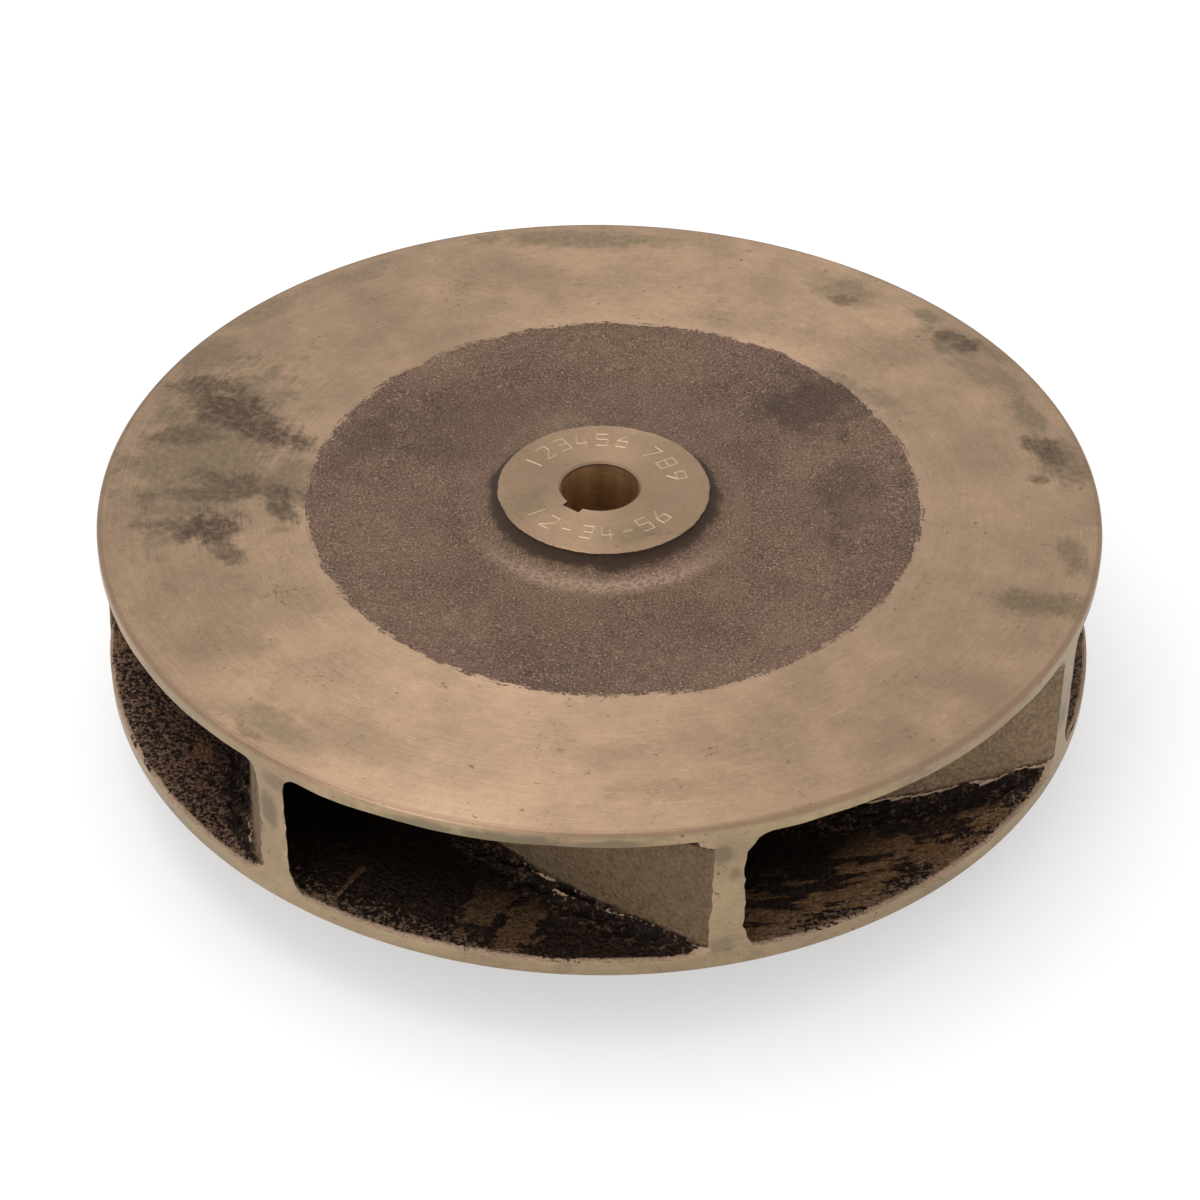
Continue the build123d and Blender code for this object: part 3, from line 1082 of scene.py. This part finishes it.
def make_turned_group():
    group, given, result = new_group(
        "Turned Finish",
        [("Position", VECTOR, (0, 0, 0)), ("Colour", COLOUR, (0.5, 0.36, 0.24, 1)),
         ("Ring Depth", FLOAT, 0.1)],
        [("Colour", COLOUR), ("Roughness", FLOAT), ("Normal", VECTOR), ("Streak", FLOAT)],
    )
    position = given["Position"]
    flat = flattened(group, position)
    across = math(group, "ADD", vector_math(group, "LENGTH", flat), parts(group, position)["Z"])
    facing = parts(group, vector_math(group, "NORMALIZE", flat))

    def rings(per_turn, per_mm):
        """Noise drawn out along the turning: so many cells round a turn, and per mm across it."""
        inputs = {axis: math(group, "MULTIPLY", facing[axis], per_turn) for axis in "XY"}
        inputs["Z"] = math(group, "MULTIPLY", across, per_mm)
        return grain(group, add(group, "ShaderNodeCombineXYZ", inputs).outputs[0], 1.0, 3.0, 0.65)

    streak = rings(9.0, 1.5)
    line = rings(2.0, 3.0)
    scratch = remap(group, rings(30.0, 2.6), 0.60, 0.68)
    cloud = grain(group, position, 0.06, 5.0, 0.62)
    speck = remap(group, grain(group, position, 0.42, 2.0, 0.5), 0.71, 0.76)
    mottle = grain(group, position, 0.6, 5.0, 0.75)
    pit = weighted(group, grain(group, position, 0.9, 4.0, 0.65), (grain(group, position, 0.07), 0.55))
    pit = remap(group, pit, 0.93, 0.99)
    shade = weighted(group, 0.14, (streak, 0.26), (mottle, 0.42), (line, 0.20), (cloud, 0.84),
                     (scratch, 0.20), (speck, -0.4), (pit, -0.28))
    tint = add(group, "ShaderNodeCombineXYZ", {"X": shade, "Y": shade, "Z": shade}).outputs[0]
    colour = mix_colour(group, 1.0, given["Colour"], tint, "MULTIPLY")
    brown = remap(group, grain(group, position, 0.035, 5.0, 0.65), 0.5, 0.66, 0.0, 0.5)
    height = weighted(group, line, (streak, 0.6), (scratch, -0.8), (speck, -1.2))
    return put_out(group, result, {
        "Colour": mix_colour(group, brown, colour, BROWNED),
        "Roughness": weighted(group, 0.36, (cloud, 0.2)),
        "Normal": bump(group, height, given["Ring Depth"], 0.00015),
        "Streak": streak,
    })


turned_group = make_turned_group()

# %% [markdown]
# ## Cast skin
# Sand-cast bronze is brown and dull, with a grain like coarse paper. Darker scale lies in clouds
# over it, and the tops of the grains are a little brighter: rubbed metal, with painted glints.

# %% Cast skin group
RUBBED_GRAIN_AND_GLINT = (0.50, 0.37, 0.29, 1)


def make_cast_group():
    group, given, result = new_group(
        "Cast Skin",
        [("Position", VECTOR, (0, 0, 0)), ("Light Colour", COLOUR, (0.2, 0.12, 0.09, 1)),
         ("Dark Colour", COLOUR, (0.05, 0.03, 0.02, 1)), ("Rust Colour", COLOUR, (0.2, 0.1, 0.08, 1)),
         ("Grain Depth", FLOAT, 0.6)],
        [("Colour", COLOUR), ("Roughness", FLOAT), ("Normal", VECTOR)],
    )
    position = given["Position"]
    elsewhere = vector_math(group, "ADD", position, (300.0, 50.0, 0.0))
    broad = grain(group, position, 0.035, 4.0, 0.6)
    rusty = remap(group, grain(group, elsewhere, 0.05, 4.0, 0.6), 0.38, 0.62)
    coarse = grain(group, position, 0.3, 3.0, 0.6)
    fine = grain(group, position, 1.8, 3.0, 0.72)
    share = remap(group, weighted(group, 0.0, (coarse, 0.4), (fine, 2.3), (broad, 0.7)), 1.1, 2.25)
    colour = mix_colour(group, rusty, given["Light Colour"], given["Rust Colour"])
    colour = mix_colour(group, share, given["Dark Colour"], colour)
    # rubbed metal and painted glints: the tops of the grains drawn brighter
    fleck_and_glint = remap(group, fine, 0.60, 0.67, 0.0, 0.75)
    return put_out(group, result, {
        "Colour": mix_colour(group, fleck_and_glint, colour, RUBBED_GRAIN_AND_GLINT),
        "Roughness": weighted(group, 0.72, (fine, -0.3)),
        "Normal": bump(group, weighted(group, fine, (coarse, 0.9)), given["Grain Depth"], 0.0013),
    })


cast_group = make_cast_group()

# %% [markdown]
# ## Blotches
# Handling and wet storage leave olive films and darker cores on bronze. One group makes one: an
# ellipse whose outline and strength are broken up by a noise that all of them share.

# %% Blotch group
def make_blotch_group():
    group, given, result = new_group(
        "Blotch",
        [("Position", VECTOR, (0, 0, 0)), ("Centre", VECTOR, (0, 0, 0)), ("Turn", VECTOR, (0, 0, 0)),
         ("Radii", VECTOR, (10, 10, 10)), ("Strength", FLOAT, 1.0), ("Break", FLOAT, 0.5)],
        [("Mask", FLOAT)],
    )
    inputs = {
        "Vector": vector_math(group, "SUBTRACT", given["Position"], given["Centre"]),
        "Rotation": given["Turn"],
    }
    turned = add(group, "ShaderNodeVectorRotate", inputs, rotation_type="EULER_XYZ").outputs[0]
    distance = vector_math(group, "LENGTH", vector_math(group, "DIVIDE", turned, given["Radii"]))
    edge = weighted(group, distance, (math(group, "SUBTRACT", given["Break"], 0.5), 2.4))
    body = remap(group, edge, 0.45, 1.25, 1.0, 0.0)
    return put_out(group, result, {"Mask": math(group, "MULTIPLY", body, given["Strength"], clamp=True)})


blotch_group = make_blotch_group()


def blotch(tree, position, centre, radii, strength, broken, turn=0.0):
    """The mask of one blotch; turn is in degrees about the shaft's direction."""
    return use(tree, blotch_group, {
        "Position": position, "Centre": centre, "Turn": (0, 0, -radians(turn)),
        "Radii": radii, "Strength": strength, "Break": broken,
    })["Mask"]


def strongest(tree, masks):
    """The highest of several masks."""
    return reduce(lambda total, mask: math(tree, "MAXIMUM", total, mask), masks)


# %% [markdown]
# ## Where the stains are
# The lists give each stain's place in mm, its turn in degrees, its half length and half width in
# mm, and its strength. The smudges on the rim have a bearing and a height instead of a place.

# %% Stains
OLIVE_FILMS = [
    (-97, 18, 80, 44, 21, 0.75), (-99, 57, 60, 11, 8, 0.6), (-87, 77, 45, 15, 4, 0.5),
    (-65, 94, 30, 13, 4, 0.45), (-76, 2, 85, 16, 7, 0.7), (-6, 112, 0, 27, 5, 0.8),
    (64, 89, -30, 10, 7, 0.7), (84, 78, -40, 6, 3, 0.8), (91, 65, -40, 12, 6, 0.8),
    (99, 62, -50, 9, 3, 0.7), (95, 53, -50, 10, 4, 0.5), (103, 48, -60, 10, 3, 0.5),
    (106, 36, -70, 13, 4, 0.7), (113, 15, -75, 12, 7, 0.8), (112, -23, -80, 9, 4, 0.7),
    (104, -41, -10, 13, 5, 0.8), (60, 48, -40, 7, 3, 0.6), (69, 41, -40, 7, 4, 0.5),
    (-72, -86, -35, 14, 5, 0.6), (-101, -48, -70, 12, 6, 0.35), (-50, -92, -30, 18, 7, 0.3),
    (20, -105, 5, 24, 4, 0.25), (8, -19, 10, 9, 4, 0.5), (-18, -8, 60, 9, 5, 0.45),
    (-92, -42, -70, 30, 13, 0.3), (14, 16, -30, 9, 5, 0.3),
]
DARK_CORES = [
    (-93, 33, -20, 12, 8, 0.95), (-83, 24, -25, 14, 5, 0.9), (-102, 22, 0, 10, 5, 0.6),
    (-85, 1, -20, 15, 5, 0.75), (-76, -8, -40, 7, 3, 0.75), (-94, -2, 0, 10, 3, 0.6),
    (-92, -15, 0, 9, 7, 0.95), (-102, -14, 0, 9, 3, 0.6), (-87, -25, -60, 6, 3, 0.7),
    (-99, 43, 0, 9, 5, 0.8), (89, 68, 0, 5, 3, 0.8), (94, 64, 0, 4, 3, 0.85),
    (109, 19, -60, 7, 4, 0.8), (63, 84, 0, 4, 3, 0.6), (-109, -5, 0, 4, 3, 0.5),
    (77, 61, 20, 10, 7, 0.22), (107, 7, 0, 3, 2, 0.7), (-77, -89, -35, 5, 2, 0.5),
]
DISC_STAINS = [
    (54, 39, 25, 17, 12, 0.6), (60, 0, 80, 20, 8, 0.35), (-58, 22, 70, 14, 6, 0.45),
    (-30, 30, 20, 22, 20, 0.25),
]
# given patches of a passage floor drawn in the lighter brown, without scale
LIGHT_FLOOR_PATCHES = [(-23, -100, 62, 13, 5, 0.9), (-17, -109, 75, 10, 5, 0.9), (-56, -96, 62, 7, 0.9, 0.6)]
# bearing, height, half width, half height and strength of the smudges on the rim and the vane ends
RIM_SMUDGES = [
    (-127, 48, 3, 6, 0.85), (-126, 57, 4, 2.5, 0.6), (-77, 55, 2.6, 2.6, 0.75), (-75.5, 49, 1.8, 2.5, 0.6),
    (-99, 60.4, 14, 2.4, 0.9), (-108, 60, 12, 2.6, 0.8), (-88, 60.4, 10, 1.5, 0.8), (-76.5, 28, 3.5, 3, 0.5),
    (-26, 40, 3, 5, 0.7), (25, 50, 3, 6, 0.7), (80, 34, 4, 5, 0.7), (130, 45, 3, 6, 0.6),
    (-178, 52, 3, 4, 0.7),
]


def blotches(tree, position, stains, height, broken):
    """One mask for a list of stains on a level face."""
    masks = []
    for x, y, turn, length, width, strength in stains:
        masks.append(blotch(tree, position, (x, y, height), (length, width, 30.0), strength, broken, turn))
    return strongest(tree, masks)


def rim_smudges(tree, position, broken):
    masks = []
    for bearing, height, wide, tall, strength in RIM_SMUDGES:
        place = polar(rim_radius, radians(bearing), height).tolist()
        masks.append(blotch(tree, position, place, (wide, wide, tall), strength, broken))
    return strongest(tree, masks)


print("stains:", len(OLIVE_FILMS + DARK_CORES + DISC_STAINS + LIGHT_FLOOR_PATCHES), "smudges:", len(RIM_SMUDGES))

# %% [markdown]
# ## Colours
# All colours are linear. Clean turned bronze is a pinkish tan, its films are olive, and cast skin
# goes from brown to nearly black where scale covers it.

# %% Colours
TURNED_COLOUR = (0.358, 0.243, 0.158, 1)
RIM_COLOUR = (0.315, 0.232, 0.138, 1)
HUB_COLOUR = (0.270, 0.178, 0.110, 1)
CORNER_COLOUR = (0.235, 0.150, 0.100, 1)
BURNISHED = (0.50, 0.35, 0.235, 1)
GROOVE_COLOUR = (0.46, 0.338, 0.228, 1)
RAW_EDGE = (0.345, 0.235, 0.158, 1)
OLIVE = (0.175, 0.138, 0.086, 1)
DARK_OLIVE = (0.150, 0.116, 0.072, 1)
DARK_STAIN = (0.100, 0.068, 0.046, 1)
CAST_LIGHT = (0.268, 0.170, 0.110, 1)
CAST_RUST = (0.256, 0.152, 0.104, 1)
CAST_DARK = (0.056, 0.032, 0.021, 1)
# colour of the stains on the disc and of the painted shade round the boss
CAST_STAIN_AND_SHADE = (0.050, 0.030, 0.020, 1)
# painted highlight on the front of the boss's flare
PAINTED_FLARE_HIGHLIGHT = (0.44, 0.302, 0.216, 1)
FLOOR_BROWN = [(0.108, 0.057, 0.027, 1), (0.208, 0.118, 0.060, 1)]
SCALE_GRAINS = [(0.036, 0.021, 0.014, 1), (0.170, 0.092, 0.064, 1)]
SCALE_DARK = (0.013, 0.0085, 0.0065, 1)
LIP_RUBBED = (0.215, 0.140, 0.090, 1)
# painted shade: the near-black that the passage floors go to further in
PAINTED_DEEP_SHADE = (0.011, 0.007, 0.0045, 1)
FACE_SHADES = [(0.116, 0.077, 0.044, 1), (0.275, 0.190, 0.115, 1)]
FACE_DARK = (0.045, 0.028, 0.013, 1)
CRUST_SHADES = [(0.010, 0.006, 0.004, 1), (0.085, 0.048, 0.030, 1)]
BORE_SHADES = [(0.40, 0.232, 0.110, 1), (0.86, 0.56, 0.29, 1)]
BORE_MOUTH = (0.250, 0.168, 0.105, 1)
print("turned", TURNED_COLOUR[:3], "olive", OLIVE[:3], "cast", CAST_LIGHT[:3])

# %% [markdown]
# ## What every material starts from
# Each tree starts from the position in millimetres, so the same noise sizes mean the same thing
# everywhere. Turned metal is metallic with drawn-out highlights; cast skin is hardly metallic.

# %% Material helpers
def start_tree(name):
    """Clears a material's tree and returns it with its output and the position in mm."""
    tree = materials[name].node_tree
    tree.nodes.clear()
    output = tree.nodes.new("ShaderNodeOutputMaterial").inputs["Surface"]
    place = add(tree, "ShaderNodeTexCoord").outputs["Object"]
    return tree, output, vector_math(tree, "MULTIPLY", place, (1000.0, 1000.0, 1000.0))


def metal(tree, colour, rough, normal, metallic, anisotropy=0.0, specular=0.5):
    shader = add(tree, "ShaderNodeBsdfPrincipled", {
        "Base Color": colour, "Roughness": rough, "Normal": normal, "Metallic": metallic,
        "Anisotropic": anisotropy, "Anisotropic Rotation": 0.25, "Specular IOR Level": specular,
    })
    if anisotropy:
        tangent = add(tree, "ShaderNodeTangent", direction_type="RADIAL", axis="Z").outputs[0]
        tree.links.new(tangent, shader.inputs["Tangent"])
    return shader.outputs["BSDF"]


def corner_tint(tree, position, colour):
    """The rim's upper corner is a touch browner and pinker than the faces that meet there."""
    high = remap(tree, parts(tree, position)["Z"], back_face - 1.7, back_face - 0.8)
    radius = vector_math(tree, "LENGTH", flattened(tree, position))
    out = remap(tree, radius, rim_radius - 1.6, rim_radius - 1.0)
    share = math(tree, "MULTIPLY", math(tree, "MULTIPLY", high, out), 0.55)
    return mix_colour(tree, share, colour, CORNER_COLOUR)


def turned_finish(tree, position, colour):
    return use(tree, turned_group, {"Position": position, "Colour": colour, "Ring Depth": 0.35})


def cast_shader(tree, position, layers=()):
    """Cast skin; layers are pairs of a mask and the colour that it lays over the skin."""
    finish = use(tree, cast_group, {
        "Position": position, "Light Colour": CAST_LIGHT, "Dark Colour": CAST_DARK,
        "Rust Colour": CAST_RUST, "Grain Depth": 0.8,
    })
    colour = finish["Colour"]
    for mask, layer_colour in layers:
        colour = mix_colour(tree, mask, colour, layer_colour)
    return metal(tree, colour, finish["Roughness"], finish["Normal"], 0.25, specular=0.2)


print("material parts:", [helper.__name__ for helper in (start_tree, metal, turned_finish, cast_shader)])

# %% [markdown]
# The rim band and the eye ring are turned metal with an olive film in clouds, small dark spots, and
# smudges on the vane ends. The front shroud is plain cast skin.

# %% Rim and front shroud
def make_turned():
    tree, output, position = start_tree("turned_bronze")
    finish = turned_finish(tree, position, RIM_COLOUR)
    film = grain(tree, position, 0.11, 5.0, 0.65)
    spot = remap(tree, grain(tree, position, 0.55, 2.0), 0.66, 0.72, 0.0, 0.7)
    colour = mix_colour(tree, remap(tree, film, 0.50, 0.72, 0.0, 0.55), finish["Colour"], OLIVE)
    colour = mix_colour(tree, rim_smudges(tree, position, film), colour, DARK_OLIVE)
    colour = corner_tint(tree, position, mix_colour(tree, spot, colour, DARK_STAIN))
    tree.links.new(metal(tree, colour, finish["Roughness"], finish["Normal"], 0.85, 0.3), output)


def make_cast_skin():
    tree, output, position = start_tree("cast_skin")
    tree.links.new(cast_shader(tree, position), output)


make_turned()
make_cast_skin()
print("rim, ring and front shroud done")

# %% [markdown]
# The back face holds both kinds of surface. Outside the disc it is turned, with films and darker
# cores, and a little burnished next to the disc's edge. Inside it is cast, with painted shade close
# round the boss, a ring of painted highlight beyond it on the front side, and a few stains. The
# mesh attribute tells them apart, and the rings of the lathe and a fine grain tear the border into
# small teeth.

# %% Back face
def turned_back(tree, position, finish, depth, broken):
    patchy = remap(tree, grain(tree, position, 0.55, 5.0, 0.72), 0.35, 0.65, 0.6, 1.1)
    films, cores = [
        math(tree, "MULTIPLY", blotches(tree, position, stains, back_face, broken), patchy, clamp=True)
        for stains in (OLIVE_FILMS, DARK_CORES)
    ]
    burnish = remap(tree, weighted(tree, depth, (broken, 6.0)), -3.0, 2.5, 0.0, 0.18)
    colour = mix_colour(tree, burnish, finish["Colour"], BURNISHED)
    colour = mix_colour(tree, films, colour, OLIVE)
    colour = corner_tint(tree, position, mix_colour(tree, cores, colour, DARK_STAIN))
    rough = weighted(tree, finish["Roughness"], (math(tree, "MAXIMUM", films, cores), 0.15))
    return metal(tree, colour, rough, finish["Normal"], 1.0, 0.6)


def cast_back(tree, position, offset, from_boss, broken):
    # painted shade: darker close round the foot of the boss
    boss_shade_edge = weighted(tree, from_boss, (broken, 5.0))
    boss_corner_shade = remap(tree, boss_shade_edge, boss_radius + 3.8, boss_radius + 6.0, 0.97, 0.0)
    stains = blotches(tree, position, DISC_STAINS, back_face, broken)
    # painted highlight: a lighter ring on the boss's flare, on the front side only
    from_highlight_ring = math(tree, "ABSOLUTE", math(tree, "SUBTRACT", from_boss, boss_radius + 7.2))
    flare_highlight = remap(tree, from_highlight_ring, 0.3, 4.5, 0.95, 0.0)
    flare_highlight = math(tree, "MULTIPLY", flare_highlight, remap(tree, grain(tree, position, 1.1, 3.0), 0.38, 0.62, 0.25, 1.0))
    in_front = remap(tree, parts(tree, offset)["Y"], -34.0, -12.0, 1.0, 0.1)
    flare_highlight = math(tree, "MULTIPLY", flare_highlight, in_front)
    layers = [(math(tree, "MAXIMUM", stains, boss_corner_shade), CAST_STAIN_AND_SHADE), (flare_highlight, PAINTED_FLARE_HIGHLIGHT)]
    return cast_shader(tree, position, layers)


def make_back_face():
    tree, output, position = start_tree("back_face")
    offset = vector_math(tree, "SUBTRACT", position, (*boss_centre, 0.0))
    from_boss = vector_math(tree, "LENGTH", flattened(tree, offset))
    on_hub = remap(tree, from_boss, boss_radius + 1.0, boss_radius + 2.0, 1.0, 0.0)
    finish = turned_finish(tree, position, mix_colour(tree, on_hub, TURNED_COLOUR, HUB_COLOUR))
    depth = add(tree, "ShaderNodeAttribute", attribute_name="cast_depth").outputs["Fac"]
    broken = math(tree, "SUBTRACT", grain(tree, position, 0.14, 6.0, 0.68), 0.125)
    broken = weighted(tree, broken, (finish["Streak"], 0.25))
    turned = turned_back(tree, position, finish, depth, broken)
    cast = cast_back(tree, position, offset, from_boss, broken)
    teeth = weighted(tree, depth, (finish["Streak"], 5.0), (grain(tree, position, 1.4, 3.0), 3.6))
    below_hub = remap(tree, parts(tree, position)["Z"], hub_face - 0.35, hub_face - 0.15, 1.0, 0.0)
    mask = math(tree, "MULTIPLY", remap(tree, teeth, 4.2, 4.4), below_hub)
    both = add(tree, "ShaderNodeMixShader", {0: mask, 1: turned, 2: cast})
    tree.links.new(both.outputs[0], output)


make_back_face()
print("back face done")

# %% [markdown]
# In the passages the vane faces are pebbled and olive. The floor is brown under dark scale, which
# is drawn out with the flow, worn near the lip, lighter brown in a few given patches, and darkened
# with painted shade further in. The crust on the ramp is nearly black, and the flash and the broken
# lips are raw metal.

# %% Passage skin
def from_mesh(tree, name):
    """The three values of a passage attribute."""
    return parts(tree, add(tree, "ShaderNodeAttribute", attribute_name=name).outputs["Vector"])


def floor_colour(tree, position, cover, pebble, coarse, bare):
    lip_wear = weighted(tree, grain(tree, position, 0.55, 4.0, 0.65), (pebble, 0.4), (cover["Y"], -0.022))
    lip_wear = remap(tree, lip_wear, 0.60, 0.72, 0.0, 0.8)
    inward = from_mesh(tree, "flow")["Y"]
    # painted shade: the floor goes darker the further it lies in from the rim
    painted_inner_shade = remap(tree, weighted(tree, inward, (coarse, 12.0)), 28.0, 62.0)
    grains = mix_colour(tree, cover["Z"], *SCALE_GRAINS)
    dark = mix_colour(tree, remap(tree, pebble, 0.42, 0.62), SCALE_DARK, grains)
    brown = mix_colour(tree, remap(tree, pebble, 0.35, 0.65), *FLOOR_BROWN)
    colour = mix_colour(tree, bare, dark, brown)
    colour = mix_colour(tree, lip_wear, colour, LIP_RUBBED)
    return mix_colour(tree, painted_inner_shade, colour, PAINTED_DEEP_SHADE)


def bare_floor(tree, position, cover):
    """Where no scale covers the floor, and a few given patches where it shows lighter brown."""
    flow = add(tree, "ShaderNodeAttribute", attribute_name="flow").outputs["Vector"]
    drawn_out = vector_math(tree, "MULTIPLY", flow, (1.0, 0.3, 1.0))
    thin = weighted(tree, grain(tree, drawn_out, 0.16, 6.0, 0.68), (grain(tree, position, 0.05), 0.6))
    bare = remap(tree, math(tree, "SUBTRACT", thin, cover["X"]), 0.775, 0.795)
    smear = grain(tree, position, 0.2, 2.0, 0.4)
    light_patches = blotches(tree, position, LIGHT_FLOOR_PATCHES, floor_line(rim_radius), smear)
    return math(tree, "MAXIMUM", bare, remap(tree, light_patches, 0.25, 0.36, 0.0, 0.6))


def make_passage_skin():
    tree, output, position = start_tree("passage_skin")
    masks, cover = from_mesh(tree, "masks"), from_mesh(tree, "cover")
    pebble = grain(tree, position, 1.1, 3.0, 0.6)
    coarse = grain(tree, position, 0.4, 3.0, 0.6)
    bare = bare_floor(tree, position, cover)
    face = mix_colour(tree, remap(tree, weighted(tree, pebble, (coarse, 0.5)), 0.40, 1.12), *FACE_SHADES)
    face = mix_colour(tree, cover["Z"], FACE_DARK, face)
    crust = mix_colour(tree, remap(tree, weighted(tree, pebble, (coarse, 0.8)), 0.92, 1.12), *CRUST_SHADES)
    raw = remap(tree, weighted(tree, masks["Z"], (pebble, 0.9)), 1.08, 1.24)
    colour = mix_colour(tree, masks["X"], floor_colour(tree, position, cover, pebble, coarse, bare), face)
    colour = mix_colour(tree, masks["Y"], colour, crust)
    colour = mix_colour(tree, raw, colour, RAW_EDGE)
    normal = bump(tree, weighted(tree, pebble, (coarse, 1.2), (bare, -0.25)), 0.8, 0.0010)
    rough = weighted(tree, 0.5, (pebble, 0.2))
    tree.links.new(metal(tree, colour, rough, normal, 0.2, specular=0.08), output)


make_passage_skin()
print("passage skin done")

# %% [markdown]
# Bored metal has faint rings from the boring tool, soft dark patches along the bore, and a duller
# mouth. The grooves of the numbers are bare metal, a little brighter than the face round them.

# %% Bore and grooves
def make_bored():
    tree, output, position = start_tree("bored_bronze")
    ring = grain(tree, vector_math(tree, "MULTIPLY", position, (0.05, 0.05, 1.0)), 2.6, 3.0, 0.6)
    patch = grain(tree, vector_math(tree, "MULTIPLY", position, (1.0, 1.0, 0.25)), 0.13, 2.0, 0.5)
    colour = mix_colour(tree, remap(tree, weighted(tree, patch, (ring, 0.4)), 0.5, 0.9), *BORE_SHADES)
    mouth = remap(tree, parts(tree, position)["Z"], hub_face - 1.6, hub_face - 0.5)
    colour = mix_colour(tree, mouth, colour, BORE_MOUTH)
    tree.links.new(metal(tree, colour, 0.34, bump(tree, ring, 0.25, 0.0002), 0.85), output)


def make_cut():
    tree, output, position = start_tree("cut_bronze")
    inputs = {"Roughness": weighted(tree, 0.3, (grain(tree, position, 2.0), 0.3)), "Metallic": 0.8}
    inputs["Base Color"] = GROOVE_COLOUR
    tree.links.new(add(tree, "ShaderNodeBsdfPrincipled", inputs).outputs["BSDF"], output)


make_bored()
make_cut()
print("bore and grooves done")

# %% [markdown]
# ## Camera
# The camera looks down at the back face from about 39 degrees, from far off with a long lens. It
# is placed so that the middle of the turned back face falls on one given pixel.

# %% Camera
FRAME_PIXELS = 1200
focal_pixels = 3258.7067
camera_elevation, camera_roll = 0.680456, 0.00975531
camera_distance = 0.786493
middle_pixel = (599.8656, 492.5749)


def place_camera():
    forward = Vector((0, cos(camera_elevation), -sin(camera_elevation)))
    right = Vector((1, 0, 0))
    down = -right.cross(forward)
    across = right * cos(camera_roll) - down * sin(camera_roll)
    down = right * sin(camera_roll) + down * cos(camera_roll)
    offset = [(pixel - FRAME_PIXELS / 2) / focal_pixels * camera_distance for pixel in middle_pixel]
    middle = Vector((0, 0, back_face * MM))
    place = middle - across * offset[0] - down * offset[1] - forward * camera_distance
    data = bpy.data.cameras.new("camera")
    data.sensor_width = 36.0
    data.lens = focal_pixels / FRAME_PIXELS * data.sensor_width
    data.clip_start, data.clip_end = 0.01, 10.0
    camera = bpy.data.objects.new("camera", data)
    axes = Matrix((across, -down, -forward)).transposed().to_4x4()
    camera.matrix_world = Matrix.Translation(place) @ axes
    bpy.context.collection.objects.link(camera)
    bpy.context.scene.camera = camera
    return camera


camera = place_camera()
print("camera at", [round(value, 3) for value in camera.location])

# %% [markdown]
# ## Floor
# A pale floor holds the soft shadow. A studio lifts such a shadow with white boards below the
# table; here a share of plain white is mixed in where the camera sees the floor, which leaves the
# light on the casting alone. Inside the eye ring the floor stays as dark as it really is.

# %% Floor
FLOOR_HALF = 3.0
SHADOW_LIFT = 0.45
WHITE, PALE = (1, 1, 1, 1), (0.96, 0.96, 0.96, 1)


def make_floor():
    mesh = bpy.data.meshes.new("floor")
    corners = [(x * FLOOR_HALF, y * FLOOR_HALF, 0) for x, y in ((-1, -1), (1, -1), (1, 1), (-1, 1))]
    mesh.from_pydata(corners, [], [(0, 1, 2, 3)])
    floor = bpy.data.objects.new("floor", mesh)
    bpy.context.collection.objects.link(floor)
    paint = bpy.data.materials.new("floor")
    paint.use_nodes = True
    tree = paint.node_tree
    tree.nodes.clear()
    matt = {"Base Color": PALE, "Roughness": 0.9, "Specular IOR Level": 0.0}
    matt = add(tree, "ShaderNodeBsdfPrincipled", matt).outputs[0]
    glow = add(tree, "ShaderNodeEmission", {"Color": WHITE, "Strength": 1.0}).outputs[0]
    seen = add(tree, "ShaderNodeLightPath").outputs["Is Camera Ray"]
    from_axis = vector_math(tree, "LENGTH", add(tree, "ShaderNodeTexCoord").outputs["Object"])
    outside_ring = math(tree, "GREATER_THAN", from_axis, (ring_radius - 3.0) * MM)
    lift = math(tree, "MULTIPLY", math(tree, "MULTIPLY", seen, SHADOW_LIFT), outside_ring)
    both = add(tree, "ShaderNodeMixShader", {0: lift, 1: matt, 2: glow})
    output = tree.nodes.new("ShaderNodeOutputMaterial")
    tree.links.new(both.outputs[0], output.inputs["Surface"])
    mesh.materials.append(paint)
    return floor


floor = make_floor()
print("floor", floor.dimensions[:2])

# %% [markdown]
# ## Light and background
# The light is a big softbox overhead, a little to the left, and one low in front on the left that
# reaches the casting more weakly. The background is white for the camera and for reflections, and
# a little under white for the light that it sheds.

# %% Light and background
def area_light(name, place, aim, size, power):
    data = bpy.data.lights.new(name, "AREA")
    data.shape = "DISK"
    data.size = size
    data.energy = power
    light = bpy.data.objects.new(name, data)
    light.location = place
    light.rotation_euler = (Vector(aim) - Vector(place)).to_track_quat("-Z", "Y").to_euler()
    bpy.context.collection.objects.link(light)
    return light


def make_world():
    world = bpy.data.worlds.new("studio")
    bpy.context.scene.world = world
    world.use_nodes = True
    tree = world.node_tree
    tree.nodes.clear()
    path = add(tree, "ShaderNodeLightPath").outputs
    seen = math(tree, "ADD", path["Is Camera Ray"], path["Is Glossy Ray"])
    seen = math(tree, "ADD", seen, path["Is Transmission Ray"], clamp=True)
    colour = mix_colour(tree, seen, (0.95, 0.95, 0.95, 1), WHITE)
    background = add(tree, "ShaderNodeBackground", {"Color": colour, "Strength": 1.0})
    output = tree.nodes.new("ShaderNodeOutputWorld")
    tree.links.new(background.outputs[0], output.inputs["Surface"])


key = area_light("key_softbox", place=(-0.22, 0.10, 1.0), aim=(0, 0, 0.05), size=0.8, power=3.6)
fill = area_light("front_fill", place=(-0.75, -1.1, 0.42), aim=(0, 0, 0.03), size=0.6, power=5.5)
make_world()
bpy.context.scene.view_settings.view_transform = "Standard"
print("lights", key.name, fill.name)

# %% [markdown] ## Finish
